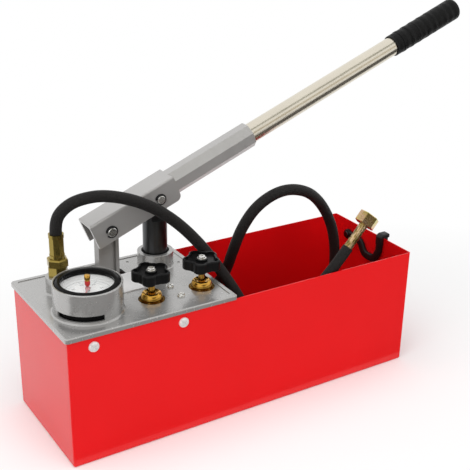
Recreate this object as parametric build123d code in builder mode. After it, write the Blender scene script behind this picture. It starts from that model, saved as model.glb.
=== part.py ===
from build123d import *
from math import asin, atan2, cos, degrees, hypot, pi, radians, sin, sqrt, tan
import os

# Hydrostatic test pump: a water tank with a hand plunger pump, gauge, valves and test hose.
# Millimetres. The origin is the centre of the tank's underside, +X runs towards the open end,
# +Z is up, and the front with the valves faces -Y.

os.makedirs("parts", exist_ok=True)

# Sizes shared by several pieces
overrun = 1.0
seat_gap = 0.05
running_gap = 0.05
free_gap = 0.35

# Tank
tank_length = 480.0
tank_width = 160.0
tank_height = 160.0
tank_sheet = 1.2
tank_fold_radius = 3.0
tank_corner_radius = 2.0

# Cover casting
cover_overhang = 2.5
cover_length = 213.5
cover_corner_radius = 4.0
cover_edge_round = 1.6
plate_thickness = 4.7
bead_height = 0.8
bead_width = 6.0
skirt_depth = 24.0
skirt_wall = 4.0
skirt_gap = 0.4

# Screws that hold the cover in the tank
cover_screw_far_inset = 71.0
cover_screw_inset = 30.0
cover_screw_drop = 12.0
cover_screw_radius = 3.0
cover_screw_length = 14.0
cover_screw_head_radius = 6.2
cover_screw_head_height = 2.8
cover_screw_slot_angle = 44.0
screw_boss_radius = 7.0
screw_boss_length = 9.0
slot_width = 1.4
slot_depth = 1.2

# Gauge
gauge_inset = 50.5
gauge_side_share = 0.688
cup_radius = 39.3
cup_wall = 2.2
cup_height = 35.5
cup_foot_radius = 2.5
window_low = 4.0
window_high = 11.0
window_start_angle = -171.0
window_arc = 84.0
case_radius = 35.5
case_wall = 1.5
case_floor_gap = 1.6
case_height = 26.0
bezel_outer_radius = 36.7
bezel_inner_radius = 29.3
bezel_height = 6.6
bezel_lip = 3.4
glass_radius = 34.8
glass_thickness = 1.8
dial_radius = 33.6
dial_thickness = 1.0
dial_depth = 5.0
needle_length = 25.0
needle_angle = 225.0
pointer_angle = 235.0
needle_tail = 8.0
needle_width = 1.6
needle_thickness = 0.5
needle_hub_radius = 2.4
needle_hub_height = 1.6
arbor_radius = 0.8
pointer_hub_radius = 3.0
pointer_stem_radius = 1.8
pointer_knob_radius = 4.0
pointer_knob_height = 7.0
pointer_knob_lift = 3.4
pointer_knob_round = 1.0
connector_radius = 6.5
connector_flange_radius = 9.5
connector_flange_height = 3.0
connector_reach = 13.0
cup_floor_hole_radius = 10.0
movement_radius = 13.0
movement_height = 5.0
movement_pillar_circle = 8.5
movement_pillar_radius = 2.0
movement_hole_radius = 3.0
bourdon_radius = 26.0
bourdon_width = 3.0
bourdon_height = 7.0
bourdon_sweep = 255.0
socket_post_size = 9.0

# Pump barrel and plunger
pump_inset = 41.5
pump_wall_gap = 35.0
piston_radius = 15.0
collar_radius = 22.2
collar_height = 19.0
collar_round = 1.6
collar_bore_radius = 17.25
barrel_boss_radius = 25.0
barrel_boss_depth = 14.0
barrel_thread_depth = 6.0
barrel_radius = 20.0
barrel_bore_radius = 15.6
barrel_port_radius = 3.0
seal_height = 9.0
wiper_height = 3.5
wiper_recess = 2.6
piston_rest_gap = 56.86
flat_width = 22.4
flat_drop = 29.0
eye_radius = 11.5
eye_play_x = 2.32
eye_play_z = 0.79
eye_shift_x = -1.38
eye_shift_z = -0.64

# Lever, at rest
lever_angle = 22.0
pivot_rise = 61.8
pin_run = 64.5
pin_rise = 28.5
pivot_pin_radius = 5.5
piston_pin_radius = 5.0
head_width = 33.0
head_wall = 4.0
head_tail = 21.5
head_nose = 96.0
head_bottom = 12.3
head_top = 20.5
head_round = 3.0
head_nose_round = 7.0
lever_axis_offset = 5.5
socket_across_flats = 30.0
socket_end = 215.0
tube_radius = 12.5
tube_wall = 1.5
tube_start = 108.0
tube_end = 568.5
grip_start = 457.0
grip_end = 572.5
grip_radius = 14.2
grip_rib_radius = 14.7
grip_end_round = 5.0
grip_rib_pitch = 14.0
grip_rib_width = 4.0
pin_standout = 3.2
clip_thickness = 1.2
clip_radial_width = 2.6
clip_groove_depth = 0.6
clip_mouth_width = 5.0

# Fulcrum link
link_base_drop = 14.0
link_width = 26.0
link_depth = 13.0
link_flange = 4.2
link_web = 5.0
link_top_radius = 13.0
link_top_width = 22.0
link_base_radius = 11.0
link_base_width = 15.0
base_pin_radius = 5.0
base_pin_head_radius = 7.5
base_pin_head_height = 3.0
lug_thickness = 7.0
lug_gap = 0.6
lug_width = 24.0
link_opening_length = 42.0
link_opening_width = 18.0
link_opening_radius = 4.0
link_recess_radius = 4.0

# Manifold below the cover
manifold_left_reach = 20.0
manifold_right_reach = 17.0
manifold_front_share = 0.7
manifold_back_share = 0.175
manifold_depth = 26.0
manifold_round = 2.0
gallery_radius = 3.0
gallery_depth = 17.0
outlet_arm_width = 30.0
outlet_arm_overhang = 10.5
pump_arm_width = 34.0
pump_arm_drop = 16.0
pump_arm_depth = 28.0
clamp_ring_radius = 27.0
delivery_gap = 10.0
delivery_seat_depth = 16.0
delivery_port_drop = 7.0
delivery_bore_radius = 5.6
delivery_seat_radius = 3.0
delivery_ball_radius = 4.5
delivery_outlet_rise = 10.0
delivery_plug_across_flats = 14.0
delivery_plug_head = 6.0
delivery_plug_reach = 3.0
delivery_plug_pin_radius = 2.0
ball_lift = 2.0
gallery_plug_radius = 5.0
gallery_plug_length = 8.0
gallery_plug_socket = 4.0

# Valves
valve_row_share = 0.4875
shutoff_place_share = 0.338
relief_inset = 24.0
valve_hole_radius = 15.5
bonnet_across_flats = 22.6
bonnet_chamfer_radius = 12.4
bonnet_height = 5.0
bonnet_chamfer = 1.8
bonnet_dome_radius = 10.4
bonnet_dome_height = 5.6
bonnet_dome_taper = 42.0
bonnet_dome_round = 0.8
bonnet_thread_radius = 9.0
bonnet_thread_depth = 11.0
spindle_radius = 4.0
needle_seat_radius = 2.2
spindle_tip_radius = 2.6
spindle_tip_length = 6.0
spindle_neck_height = 7.5
spindle_neck_radius = 2.5
knob_lift = 24.8
knob_height = 12.5
knob_core_radius = 18.2
knob_lobe_radius = 8.0
knob_lobe_centre = 14.8
knob_lobes = 5
knob_valley_round = 3.0
knob_edge_round = 1.6
knob_rim = 2.4
knob_recess = 3.5
knob_hub_radius = 7.0
knob_hub_drop = 1.0
knob_turn = 18.0
knob_washer_radius = 5.4
knob_washer_height = 0.8
knob_screw_radius = 2.0
knob_screw_length = 8.0
knob_screw_head_radius = 4.2
knob_screw_head_height = 2.6

# Screws between cover and manifold
plate_screw_pitch = 27.4
plate_screw_radius = 2.5
plate_screw_length = 18.0
plate_screw_head_radius = 4.7
plate_screw_head_height = 2.6
plate_screw_clearance = 0.3
plate_screw_slot_angle = 22.0

# Dimples in the plate, left by the casting's core pins
dimple_radius = 1.8
dimple_depth = 0.8
dimple_offsets = [(-28.2, 21.0), (26.7, -10.6)]

# Outlet
outlet_offset = 10.0
outlet_spacing = 60.0
outlet_boss_radius = 15.0
outlet_boss_height = 20.0
outlet_bore_radius = 8.6
outlet_thread_radius = 8.0
outlet_reach = 11.0
outlet_hex = 20.0
outlet_hex_height = 13.0
outlet_nipple_radius = 7.4
outlet_nipple_height = 7.0
union_hex = 22.0
union_height = 9.5
union_lip = 1.6
fitting_bore_radius = 3.0

# Suction valve at the foot of the barrel
foot_spigot_radius = 15.5
foot_spigot_height = 9.0
foot_hex = 36.0
foot_hex_height = 10.0
foot_neck_radius = 12.0
foot_neck_height = 8.0
foot_chamber_radius = 8.0
foot_chamber_depth = 11.0
foot_bore_radius = 4.0
suction_ball_radius = 6.0
ball_stop_thickness = 1.5
ball_stop_hole_radius = 2.0
ball_stop_hole_circle = 4.9
ball_stop_holes = 6
strainer_radius = 15.0
strainer_wall = 1.0
strainer_height = 30.0
strainer_floor_gap = 18.8
strainer_slots = 8
strainer_slot_width = 3.0
strainer_slot_height = 16.0

# Hose and its fittings
hose_radius = 7.0
hose_first_rise = 15.3
route_length = 480.0
route_width = 160.0
route_height = 160.0
ferrule_radius = 8.8
ferrule_length = 29.5
ferrule_band = 4.5
ferrule_sides = 8
tail_radius = 5.75
tail_length = 37.0
tail_flange_radius = 8.6
tail_flange_height = 3.0
tail_groove_depth = 0.5
tail_groove_width = 2.0
tail_groove_pitch = 6.0
nut_across_flats = 24.0
nut_length = 15.0
nut_start = 34.8
nut_back_wall = 2.6
nut_thread_radius = 9.32
nut_relief_depth = 0.6
nut_bore_gap = 0.4
nut_chamfer = 1.6

# Rubber strap on the end wall
strap_width = 9.0
strap_thickness = 5.0
strap_bend_radius = 12.0
strap_eye_radius = 7.0
strap_hook_height = 6.0
strap_hook_reach = 8.0
strap_hook_lip = 6.0
strap_lip_gap = 2.0
strap_lip_thickness = 4.0
strap_hook_width = 12.0
strap_hook_round = 2.6
strap_anchor_inset = 34.0
strap_anchor_drop = 19.0
strap_sag = 16.0
strap_run = 49.0
strap_shoulder = 28.0
strap_bottom_half = 11.0
strap_hook_run = 19.0
anchor_radius = 2.5
anchor_head_radius = 5.0
anchor_head_height = 2.4

# Places worked out from the sizes above
rim_z = tank_height
plate_top = rim_z + plate_thickness
bead_top = plate_top + bead_height
cover_left = -tank_length / 2 - cover_overhang
cover_right = cover_left + cover_length
cover_mid = (cover_left + cover_right) / 2
cover_width = tank_width + 2 * cover_overhang
inner_half_length = tank_length / 2 - tank_sheet
inner_half_width = tank_width / 2 - tank_sheet
cover_screw_z = rim_z - cover_screw_drop
cover_screw_xs = [
    cover_left + cover_overhang + cover_screw_inset,
    cover_right - cover_screw_far_inset,
]
gauge_x = cover_left + gauge_inset
gauge_y = -gauge_side_share * (tank_width / 2 - cup_radius)
outlet_x = gauge_x - outlet_offset
outlet_y = gauge_y + outlet_spacing
pump_x = cover_right - pump_inset
pump_y = tank_width / 2 - pump_wall_gap
cup_edge = gauge_x + cup_radius
relief_x = cover_right - relief_inset
shutoff_x = cup_edge + shutoff_place_share * (relief_x - cup_edge)
valve_y = -valve_row_share * tank_width / 2
plate_screw_x = (shutoff_x + relief_x) / 2
dimples = [(pump_x + along, pump_y + across) for along, across in dimple_offsets]
manifold_left = outlet_x - manifold_left_reach
manifold_right = relief_x + manifold_right_reach
manifold_front = -manifold_front_share * tank_width / 2
manifold_back = -manifold_back_share * tank_width / 2
strap_anchor_y = tank_width / 2 - strap_anchor_inset
strap_anchor_z = rim_z - strap_anchor_drop
strap_low_y = strap_anchor_y - strap_run
strap_low_z = strap_anchor_z - strap_sag
strap_hook_y = strap_low_y - strap_hook_run
cup_top = plate_top + cup_height
collar_top = plate_top + collar_height
boss_top = plate_top + outlet_boss_height
skirt_bottom = rim_z - skirt_depth
skirt_half_width = inner_half_width - skirt_gap
skirt_left = -inner_half_length + skirt_gap

pivot_x = pump_x - pin_run
pivot_z = plate_top + pivot_rise
link_base_z = rim_z - link_base_drop
lever_plane = Plane(
    origin=(pivot_x, pump_y, pivot_z),
    x_dir=(cos(radians(lever_angle)), 0, sin(radians(lever_angle))),
    z_dir=(0, -1, 0),
)
upright_plane = Plane(origin=(0, pump_y, 0), x_dir=(1, 0, 0), z_dir=(0, -1, 0))
pin_z = pivot_z + pin_rise
pin_distance = hypot(pin_run, pin_rise)
pin_slope = atan2(pin_rise, pin_run) - radians(lever_angle)
pin_along = pin_distance * cos(pin_slope)
pin_across = pin_distance * sin(pin_slope)


# Tank
with BuildPart() as tank:
    Box(tank_length, tank_width, tank_height, align=(Align.CENTER, Align.CENTER, Align.MIN))
    fillet(tank.edges().filter_by(Axis.Z), tank_corner_radius)
    fillet(tank.edges().group_by(Axis.Z)[0], tank_fold_radius)
    offset(amount=-tank_sheet, openings=tank.faces().sort_by(Axis.Z)[-1])
    with BuildSketch(Plane.XZ) as screw_holes:
        with Locations(*[(x, cover_screw_z) for x in cover_screw_xs]):
            Circle(cover_screw_radius + free_gap)
    extrude(amount=tank_width, both=True, mode=Mode.SUBTRACT)
    with BuildSketch(Plane.YZ.offset(inner_half_length - overrun)):
        with Locations((strap_anchor_y, strap_anchor_z)):
            Circle(anchor_radius + running_gap)
    extrude(amount=tank_sheet + 2 * overrun, mode=Mode.SUBTRACT)
tank.part.label = "tank"

# Cover: one casting that carries the gauge cup, the outlet boss and the pump collar
with BuildPart() as cover:
    with BuildSketch(Plane.XY.offset(rim_z)):
        with Locations((cover_mid, 0)):
            RectangleRounded(cover_length, cover_width, cover_corner_radius)
    extrude(amount=plate_thickness + bead_height)
    fillet(cover.edges().group_by(Axis.Z)[-1], cover_edge_round)
    with BuildSketch(Plane.XY.offset(plate_top)):
        with Locations((cover_mid, 0)):
            RectangleRounded(
                cover_length - 2 * bead_width, cover_width - 2 * bead_width, cover_corner_radius
            )
    extrude(amount=bead_height + overrun, mode=Mode.SUBTRACT)
    # Skirt inside the tank: front, back and left walls
    skirt_length = cover_right - cover_overhang - skirt_left
    with BuildSketch(Plane.XY.offset(skirt_bottom)):
        with Locations((skirt_left + skirt_length / 2, 0)):
            Rectangle(skirt_length, 2 * skirt_half_width)
        with Locations((skirt_left + skirt_length / 2 + skirt_wall, 0)):
            Rectangle(skirt_length, 2 * (skirt_half_width - skirt_wall), mode=Mode.SUBTRACT)
    extrude(amount=skirt_depth)
    for side in (-1, 1):
        boss_plane = Plane(
            origin=(0, side * skirt_half_width, cover_screw_z), x_dir=(1, 0, 0), z_dir=(0, -side, 0)
        )
        with BuildSketch(boss_plane):
            with Locations(*[(x, 0) for x in cover_screw_xs]):
                Circle(screw_boss_radius)
        extrude(amount=screw_boss_length)
    # Gauge cup
    with BuildSketch(Plane.XY.offset(plate_top)):
        with Locations((gauge_x, gauge_y)):
            Circle(cup_radius)
    extrude(amount=cup_height)
    # Pump collar with the barrel boss below it
    with BuildSketch(Plane.XY.offset(plate_top)):
        with Locations((pump_x, pump_y)):
            Circle(collar_radius)
    extrude(amount=collar_height)
    with BuildSketch(Plane.XY.offset(rim_z)):
        with Locations((pump_x, pump_y)):
            Circle(barrel_boss_radius)
    extrude(amount=-barrel_boss_depth)
    # Outlet boss
    with BuildSketch(Plane.XY.offset(plate_top)):
        with Locations((outlet_x, outlet_y)):
            Circle(outlet_boss_radius)
    extrude(amount=outlet_boss_height)
    fillet(
        cover.edges().filter_by(GeomType.CIRCLE).filter_by(
            lambda e: abs(e.center().Z - plate_top) < seat_gap
            and e.radius in (cup_radius, collar_radius, outlet_boss_radius)
        ),
        cup_foot_radius,
    )
    fillet(
        cover.edges().filter_by(GeomType.CIRCLE).filter_by(
            lambda e: e.center().Z > plate_top + bead_height + overrun and e.radius > outlet_bore_radius
        ),
        collar_round / 2,
    )
    # The cup's inside, its slot and the hole for the gauge's connector
    with BuildSketch(Plane.XY.offset(plate_top)):
        with Locations((gauge_x, gauge_y)):
            Circle(cup_radius - cup_wall)
    extrude(amount=cup_height + overrun, mode=Mode.SUBTRACT)
    slot_reach = cup_radius + cup_foot_radius + overrun
    with BuildSketch(Plane((gauge_x, gauge_y, plate_top + window_low))):
        with BuildLine():
            slot_arc = CenterArc((0, 0), slot_reach, window_start_angle, window_arc)
            Line((0, 0), slot_arc @ 0)
            Line((0, 0), slot_arc @ 1)
        make_face()
        Circle(case_radius + free_gap, mode=Mode.SUBTRACT)
    extrude(amount=window_high - window_low, mode=Mode.SUBTRACT)
    with Locations((gauge_x, gauge_y, plate_top)):
        Hole(cup_floor_hole_radius, depth=plate_thickness + overrun)
    # Bores for the plunger and the barrel's top
    with Locations((pump_x, pump_y, collar_top)):
        Hole(collar_bore_radius, depth=collar_height + plate_thickness + barrel_boss_depth + overrun)
    with Locations((pump_x, pump_y, rim_z - barrel_boss_depth + barrel_thread_depth)):
        Hole(barrel_radius + running_gap, depth=barrel_thread_depth + overrun)
    with Locations((outlet_x, outlet_y, boss_top)):
        Hole(outlet_bore_radius, depth=outlet_boss_height + plate_thickness + overrun)
    # Openings over the valves, the screws and the link
    with Locations((shutoff_x, valve_y, plate_top), (relief_x, valve_y, plate_top)):
        Hole(valve_hole_radius, depth=plate_thickness + overrun)
    with Locations((plate_screw_x, (manifold_front + manifold_back) / 2, plate_top)):
        with GridLocations(0, plate_screw_pitch, 1, 2):
            Hole(plate_screw_radius + plate_screw_clearance, depth=plate_thickness + overrun)
    with BuildSketch(Plane.XY.offset(rim_z - overrun)):
        with Locations((pivot_x, pump_y)):
            RectangleRounded(link_opening_length, link_opening_width, link_opening_radius)
    extrude(amount=plate_thickness + 2 * overrun, mode=Mode.SUBTRACT)
    with Locations(*[(x, y, plate_top) for x, y in dimples]):
        Hole(dimple_radius, depth=dimple_depth)
    # Threaded holes for the cover screws
    with BuildSketch(Plane.XZ):
        with Locations(*[(x, cover_screw_z) for x in cover_screw_xs]):
            Circle(cover_screw_radius + running_gap)
    extrude(amount=tank_width, both=True, mode=Mode.SUBTRACT)
    # Two lugs that hold the link's lower pin
    lug_offset = link_base_width / 2 + lug_gap
    for side in (-1, 1):
        with BuildSketch(upright_plane.offset(side * (lug_offset + lug_thickness / 2))):
            with Locations((pivot_x, link_base_z)):
                Circle(lug_width / 2)
            with Locations((pivot_x, (link_base_z + rim_z) / 2)):
                Rectangle(lug_width, rim_z - link_base_z)
            with Locations((pivot_x, link_base_z)):
                Circle(base_pin_radius + running_gap, mode=Mode.SUBTRACT)
        extrude(amount=lug_thickness / 2, both=True)
cover.part.label = "cover_casting"

# Cover screws: domed heads with a slot, threads as plain shanks
with BuildPart() as cover_screws:
    for side in (-1, 1):
        face_plane = Plane(
            origin=(0, side * tank_width / 2, cover_screw_z), x_dir=(1, 0, 0), z_dir=(0, side, 0)
        )
        spots = [(x, 0) for x in cover_screw_xs]
        with BuildSketch(face_plane):
            with Locations(*spots):
                Circle(cover_screw_head_radius)
        heads = extrude(amount=cover_screw_head_height)
        fillet(
            heads.edges().filter_by(GeomType.CIRCLE).filter_by(
                lambda e: abs(abs(e.center().Y) - tank_width / 2 - cover_screw_head_height) < seat_gap
            ),
            cover_screw_head_height - slot_depth / 2,
        )
        with BuildSketch(face_plane):
            with Locations(*spots):
                Circle(cover_screw_radius)
        extrude(amount=-cover_screw_length)
        with BuildSketch(face_plane.offset(cover_screw_head_height)):
            with Locations(*[Location((x, 0, 0), (0, 0, side * cover_screw_slot_angle)) for x, _ in spots]):
                Rectangle(2 * cover_screw_head_radius, slot_width)
                Rectangle(slot_width, 2 * cover_screw_head_radius)
        extrude(amount=-slot_depth, mode=Mode.SUBTRACT)
cover_screws.part.label = "cover_screws"

# Plate screws down into the manifold
with BuildPart() as plate_screws:
    with BuildSketch(Plane.XY.offset(plate_top)):
        with Locations((plate_screw_x, (manifold_front + manifold_back) / 2)):
            with GridLocations(0, plate_screw_pitch, 1, 2):
                Circle(plate_screw_head_radius)
    extrude(amount=plate_screw_head_height)
    fillet(plate_screws.edges().group_by(Axis.Z)[-1], plate_screw_head_height - slot_depth / 2)
    with BuildSketch(Plane.XY.offset(plate_top)):
        with Locations((plate_screw_x, (manifold_front + manifold_back) / 2)):
            with GridLocations(0, plate_screw_pitch, 1, 2):
                Circle(plate_screw_radius)
    extrude(amount=-plate_screw_length)
    with BuildSketch(Plane.XY.offset(plate_top + plate_screw_head_height)):
        with Locations((plate_screw_x, (manifold_front + manifold_back) / 2)):
            with GridLocations(0, plate_screw_pitch, 1, 2):
                Rectangle(2 * plate_screw_head_radius, slot_width, rotation=plate_screw_slot_angle)
                Rectangle(slot_width, 2 * plate_screw_head_radius, rotation=plate_screw_slot_angle)
    extrude(amount=-slot_depth, mode=Mode.SUBTRACT)
plate_screws.part.label = "plate_screws"

# Gauge, from its case up to the bezel
case_bottom = plate_top + case_floor_gap
case_top = case_bottom + case_height
dial_top = case_top - dial_depth
with BuildPart() as gauge_case:
    with BuildSketch(Plane.XY.offset(case_bottom)):
        with Locations((gauge_x, gauge_y)):
            Circle(case_radius)
    extrude(amount=case_height)
    with BuildSketch(Plane.XY.offset(case_bottom + case_wall)):
        with Locations((gauge_x, gauge_y)):
            Circle(case_radius - case_wall)
    extrude(amount=case_height, mode=Mode.SUBTRACT)
    with Locations((gauge_x, gauge_y, case_bottom + case_wall)):
        Hole(connector_radius + running_gap, depth=case_wall + overrun)
gauge_case.part.label = "gauge_case"

with BuildPart() as gauge_connector:
    with BuildSketch(Plane.XY.offset(rim_z - connector_reach)):
        with Locations((gauge_x, gauge_y)):
            Circle(connector_radius)
    extrude(amount=connector_reach + plate_thickness + case_floor_gap + case_wall)
    with BuildSketch(Plane.XY.offset(case_bottom + case_wall)):
        with Locations((gauge_x, gauge_y)):
            Circle(connector_flange_radius)
    extrude(amount=connector_flange_height)
    # Post that holds the fixed end of the bourdon tube
    with BuildSketch(Plane.XY.offset(case_bottom + case_wall)):
        with Locations((gauge_x, gauge_y - bourdon_radius / 2)):
            Rectangle(socket_post_size, bourdon_radius)
    extrude(amount=connector_flange_height)
    with BuildSketch(Plane.XY.offset(case_bottom + case_wall)):
        with Locations((gauge_x, gauge_y - bourdon_radius)):
            Rectangle(socket_post_size, socket_post_size)
    extrude(amount=connector_flange_height + bourdon_height)
    with Locations((gauge_x, gauge_y, case_bottom + case_wall + connector_flange_height)):
        Hole(fitting_bore_radius / 2)
gauge_connector.part.label = "gauge_connector"

works_bottom = case_bottom + case_wall + connector_flange_height
with BuildPart() as bourdon_tube:
    with BuildSketch(Plane((gauge_x, gauge_y, works_bottom), x_dir=(0, -1, 0), z_dir=(0, 0, 1))):
        with BuildLine():
            post_angle = degrees(asin(socket_post_size / (2 * bourdon_radius - bourdon_width)))
            CenterArc((0, 0), bourdon_radius, post_angle, bourdon_sweep)
        trace(line_width=bourdon_width)
    extrude(amount=bourdon_height)
bourdon_tube.part.label = "bourdon_tube"

with BuildPart() as gauge_movement:
    with BuildSketch(Plane.XY.offset(works_bottom)):
        with Locations((gauge_x, gauge_y)):
            Circle(movement_radius)
            Circle(movement_hole_radius, mode=Mode.SUBTRACT)
    extrude(amount=movement_height)
    # Three pillars carry the dial
    with BuildSketch(Plane.XY.offset(works_bottom)):
        with Locations((gauge_x, gauge_y)):
            with PolarLocations(movement_pillar_circle, 3):
                Circle(movement_pillar_radius)
    extrude(amount=dial_top - dial_thickness - works_bottom)
gauge_movement.part.label = "gauge_movement"

with BuildPart() as gauge_dial:
    with BuildSketch(Plane.XY.offset(dial_top - dial_thickness)):
        with Locations((gauge_x, gauge_y)):
            Circle(dial_radius)
            Circle(arbor_radius + free_gap, mode=Mode.SUBTRACT)
    extrude(amount=dial_thickness)
gauge_dial.part.label = "gauge_dial"

needle_bottom = dial_top + needle_hub_height / 2
with BuildPart() as gauge_needle:
    needle_plane = Plane((gauge_x, gauge_y, needle_bottom)).rotated((0, 0, needle_angle))
    with BuildSketch(needle_plane):
        with BuildLine():
            needle_half = needle_width / 2
            Polyline(
                (-needle_tail, -needle_half),
                (-needle_tail, needle_half),
                (needle_length, needle_half / 4),
                (needle_length, -needle_half / 4),
                close=True,
            )
        make_face()
    extrude(amount=needle_thickness)
    with BuildSketch(Plane.XY.offset(needle_bottom)):
        with Locations((gauge_x, gauge_y)):
            Circle(needle_hub_radius)
    extrude(amount=needle_hub_height)
    with BuildSketch(Plane.XY.offset(works_bottom + movement_height / 2)):
        with Locations((gauge_x, gauge_y)):
            Circle(arbor_radius)
    extrude(amount=needle_bottom - works_bottom - movement_height / 2)
gauge_needle.part.label = "gauge_needle"

with BuildPart() as gauge_bezel:
    with BuildSketch(Plane.XY.offset(case_top - bezel_lip)):
        with Locations((gauge_x, gauge_y)):
            Circle(bezel_outer_radius)
    extrude(amount=bezel_lip + bezel_height)
    fillet(gauge_bezel.edges().group_by(Axis.Z)[-1], cover_edge_round)
    with BuildSketch(Plane.XY.offset(case_top - bezel_lip)):
        with Locations((gauge_x, gauge_y)):
            Circle(case_radius + seat_gap)
    extrude(amount=bezel_lip + glass_thickness, mode=Mode.SUBTRACT)
    with BuildSketch(Plane.XY.offset(case_top)):
        with Locations((gauge_x, gauge_y)):
            Circle(bezel_inner_radius)
    extrude(amount=bezel_height + overrun, mode=Mode.SUBTRACT)
gauge_bezel.part.label = "gauge_bezel"

with BuildPart() as gauge_window:
    with BuildSketch(Plane.XY.offset(case_top)):
        with Locations((gauge_x, gauge_y)):
            Circle(glass_radius)
            Circle(pointer_stem_radius + running_gap, mode=Mode.SUBTRACT)
    extrude(amount=glass_thickness)
gauge_window.part.label = "gauge_window"

pointer_z = needle_bottom + needle_hub_height + free_gap
knob_base = case_top + glass_thickness + pointer_knob_lift
with BuildPart() as set_pointer:
    with BuildSketch(Plane.XY.offset(pointer_z)):
        with Locations((gauge_x, gauge_y)):
            Circle(pointer_hub_radius)
    extrude(amount=case_top - pointer_z - free_gap)
    with BuildSketch(Plane.XY.offset(pointer_z)):
        with Locations((gauge_x, gauge_y)):
            Circle(pointer_stem_radius)
    extrude(amount=knob_base - pointer_z)
    with BuildSketch(Plane((gauge_x, gauge_y, pointer_z)).rotated((0, 0, pointer_angle))):
        with Locations((needle_length / 2, 0)):
            Rectangle(needle_length, needle_width)
    extrude(amount=needle_thickness)
set_pointer.part.label = "set_pointer"

with BuildPart() as set_pointer_knob:
    with BuildSketch(Plane.XY.offset(knob_base)):
        with Locations((gauge_x, gauge_y)):
            Circle(pointer_knob_radius)
    extrude(amount=pointer_knob_height)
    fillet(set_pointer_knob.edges().group_by(Axis.Z)[-1], pointer_knob_round)
set_pointer_knob.part.label = "set_pointer_knob"

# Plunger: round body, two flats and an oversize eye for the lever's pin
bush_bottom = rim_z - barrel_boss_depth + barrel_thread_depth
barrel_bottom = tank_sheet + strainer_floor_gap + strainer_height + foot_hex_height
piston_top = pin_z + eye_shift_z + eye_radius
piston_bottom = barrel_bottom + piston_rest_gap
flat_z = pin_z - flat_drop
with BuildPart() as piston:
    with BuildSketch(Plane.XY.offset(piston_bottom)):
        with Locations((pump_x, pump_y)):
            Circle(piston_radius)
    extrude(amount=piston_top - piston_bottom)
    # Flats for the lever's cheeks
    with BuildSketch(Plane.XY.offset(flat_z)):
        with Locations((pump_x, pump_y)):
            Rectangle(2 * piston_radius + overrun, 2 * piston_radius + overrun)
            Rectangle(2 * piston_radius + overrun, flat_width, mode=Mode.SUBTRACT)
    extrude(amount=piston_top - flat_z + overrun, mode=Mode.SUBTRACT)
    # The head is rounded about the eye
    with BuildSketch(upright_plane):
        with Locations((pump_x + eye_shift_x, pin_z + eye_shift_z)):
            Rectangle(4 * piston_radius, 2 * eye_radius + overrun)
            Circle(eye_radius, mode=Mode.SUBTRACT)
            with Locations((0, -eye_radius)):
                Rectangle(2 * eye_radius, 2 * eye_radius, mode=Mode.SUBTRACT)
    extrude(amount=piston_radius, both=True, mode=Mode.SUBTRACT)
    eye_height = 2 * (piston_pin_radius + eye_play_z + free_gap)
    eye_length = 2 * (piston_pin_radius + eye_play_x + free_gap)
    with BuildSketch(upright_plane):
        with Locations((pump_x + eye_shift_x, pin_z + eye_shift_z)):
            SlotOverall(eye_length, eye_height)
    extrude(amount=piston_radius, both=True, mode=Mode.SUBTRACT)
    chamfer(piston.edges().group_by(Axis.Z)[0], cover_edge_round)
piston.part.label = "piston"

# Guide bush, seal and wiper round the plunger
wiper_bottom = collar_top - wiper_recess - wiper_height
with BuildPart() as guide_bush:
    with BuildSketch(Plane.XY.offset(bush_bottom)):
        with Locations((pump_x, pump_y)):
            Circle(collar_bore_radius - seat_gap)
            Circle(piston_radius + running_gap, mode=Mode.SUBTRACT)
    extrude(amount=wiper_bottom - bush_bottom)
guide_bush.part.label = "guide_bush"

with BuildPart() as piston_wiper:
    with BuildSketch(Plane.XY.offset(wiper_bottom)):
        with Locations((pump_x, pump_y)):
            Circle(collar_bore_radius - seat_gap)
            Circle(piston_radius + running_gap, mode=Mode.SUBTRACT)
    extrude(amount=wiper_height)
    chamfer(piston_wiper.edges().group_by(Axis.Z)[-1].sort_by(SortBy.RADIUS)[0], cover_edge_round / 2)
piston_wiper.part.label = "piston_wiper"

with BuildPart() as piston_seal:
    with BuildSketch(Plane.XY.offset(bush_bottom - seal_height)):
        with Locations((pump_x, pump_y)):
            Circle(collar_bore_radius - seat_gap)
            Circle(piston_radius + running_gap, mode=Mode.SUBTRACT)
    extrude(amount=seal_height)
piston_seal.part.label = "piston_seal"

# Barrel
pump_arm_top = rim_z - pump_arm_drop
pump_arm_bottom = pump_arm_top - pump_arm_depth
delivery_seat_z = pump_arm_top - delivery_seat_depth
delivery_port_z = delivery_seat_z - delivery_port_drop
delivery_outlet_z = delivery_seat_z + delivery_outlet_rise
delivery_y = manifold_back + delivery_gap
with BuildPart() as pump_barrel:
    with BuildSketch(Plane.XY.offset(barrel_bottom)):
        with Locations((pump_x, pump_y)):
            Circle(barrel_radius)
            Circle(barrel_bore_radius, mode=Mode.SUBTRACT)
    extrude(amount=bush_bottom - barrel_bottom)
    with Locations((pump_x, pump_y, bush_bottom)):
        Hole(collar_bore_radius, depth=seal_height)
    port_plane = Plane(origin=(pump_x, pump_y, delivery_port_z), x_dir=(1, 0, 0), z_dir=(0, -1, 0))
    with BuildSketch(port_plane):
        Circle(barrel_port_radius)
    extrude(amount=barrel_radius + overrun, mode=Mode.SUBTRACT)
pump_barrel.part.label = "pump_barrel"

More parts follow.
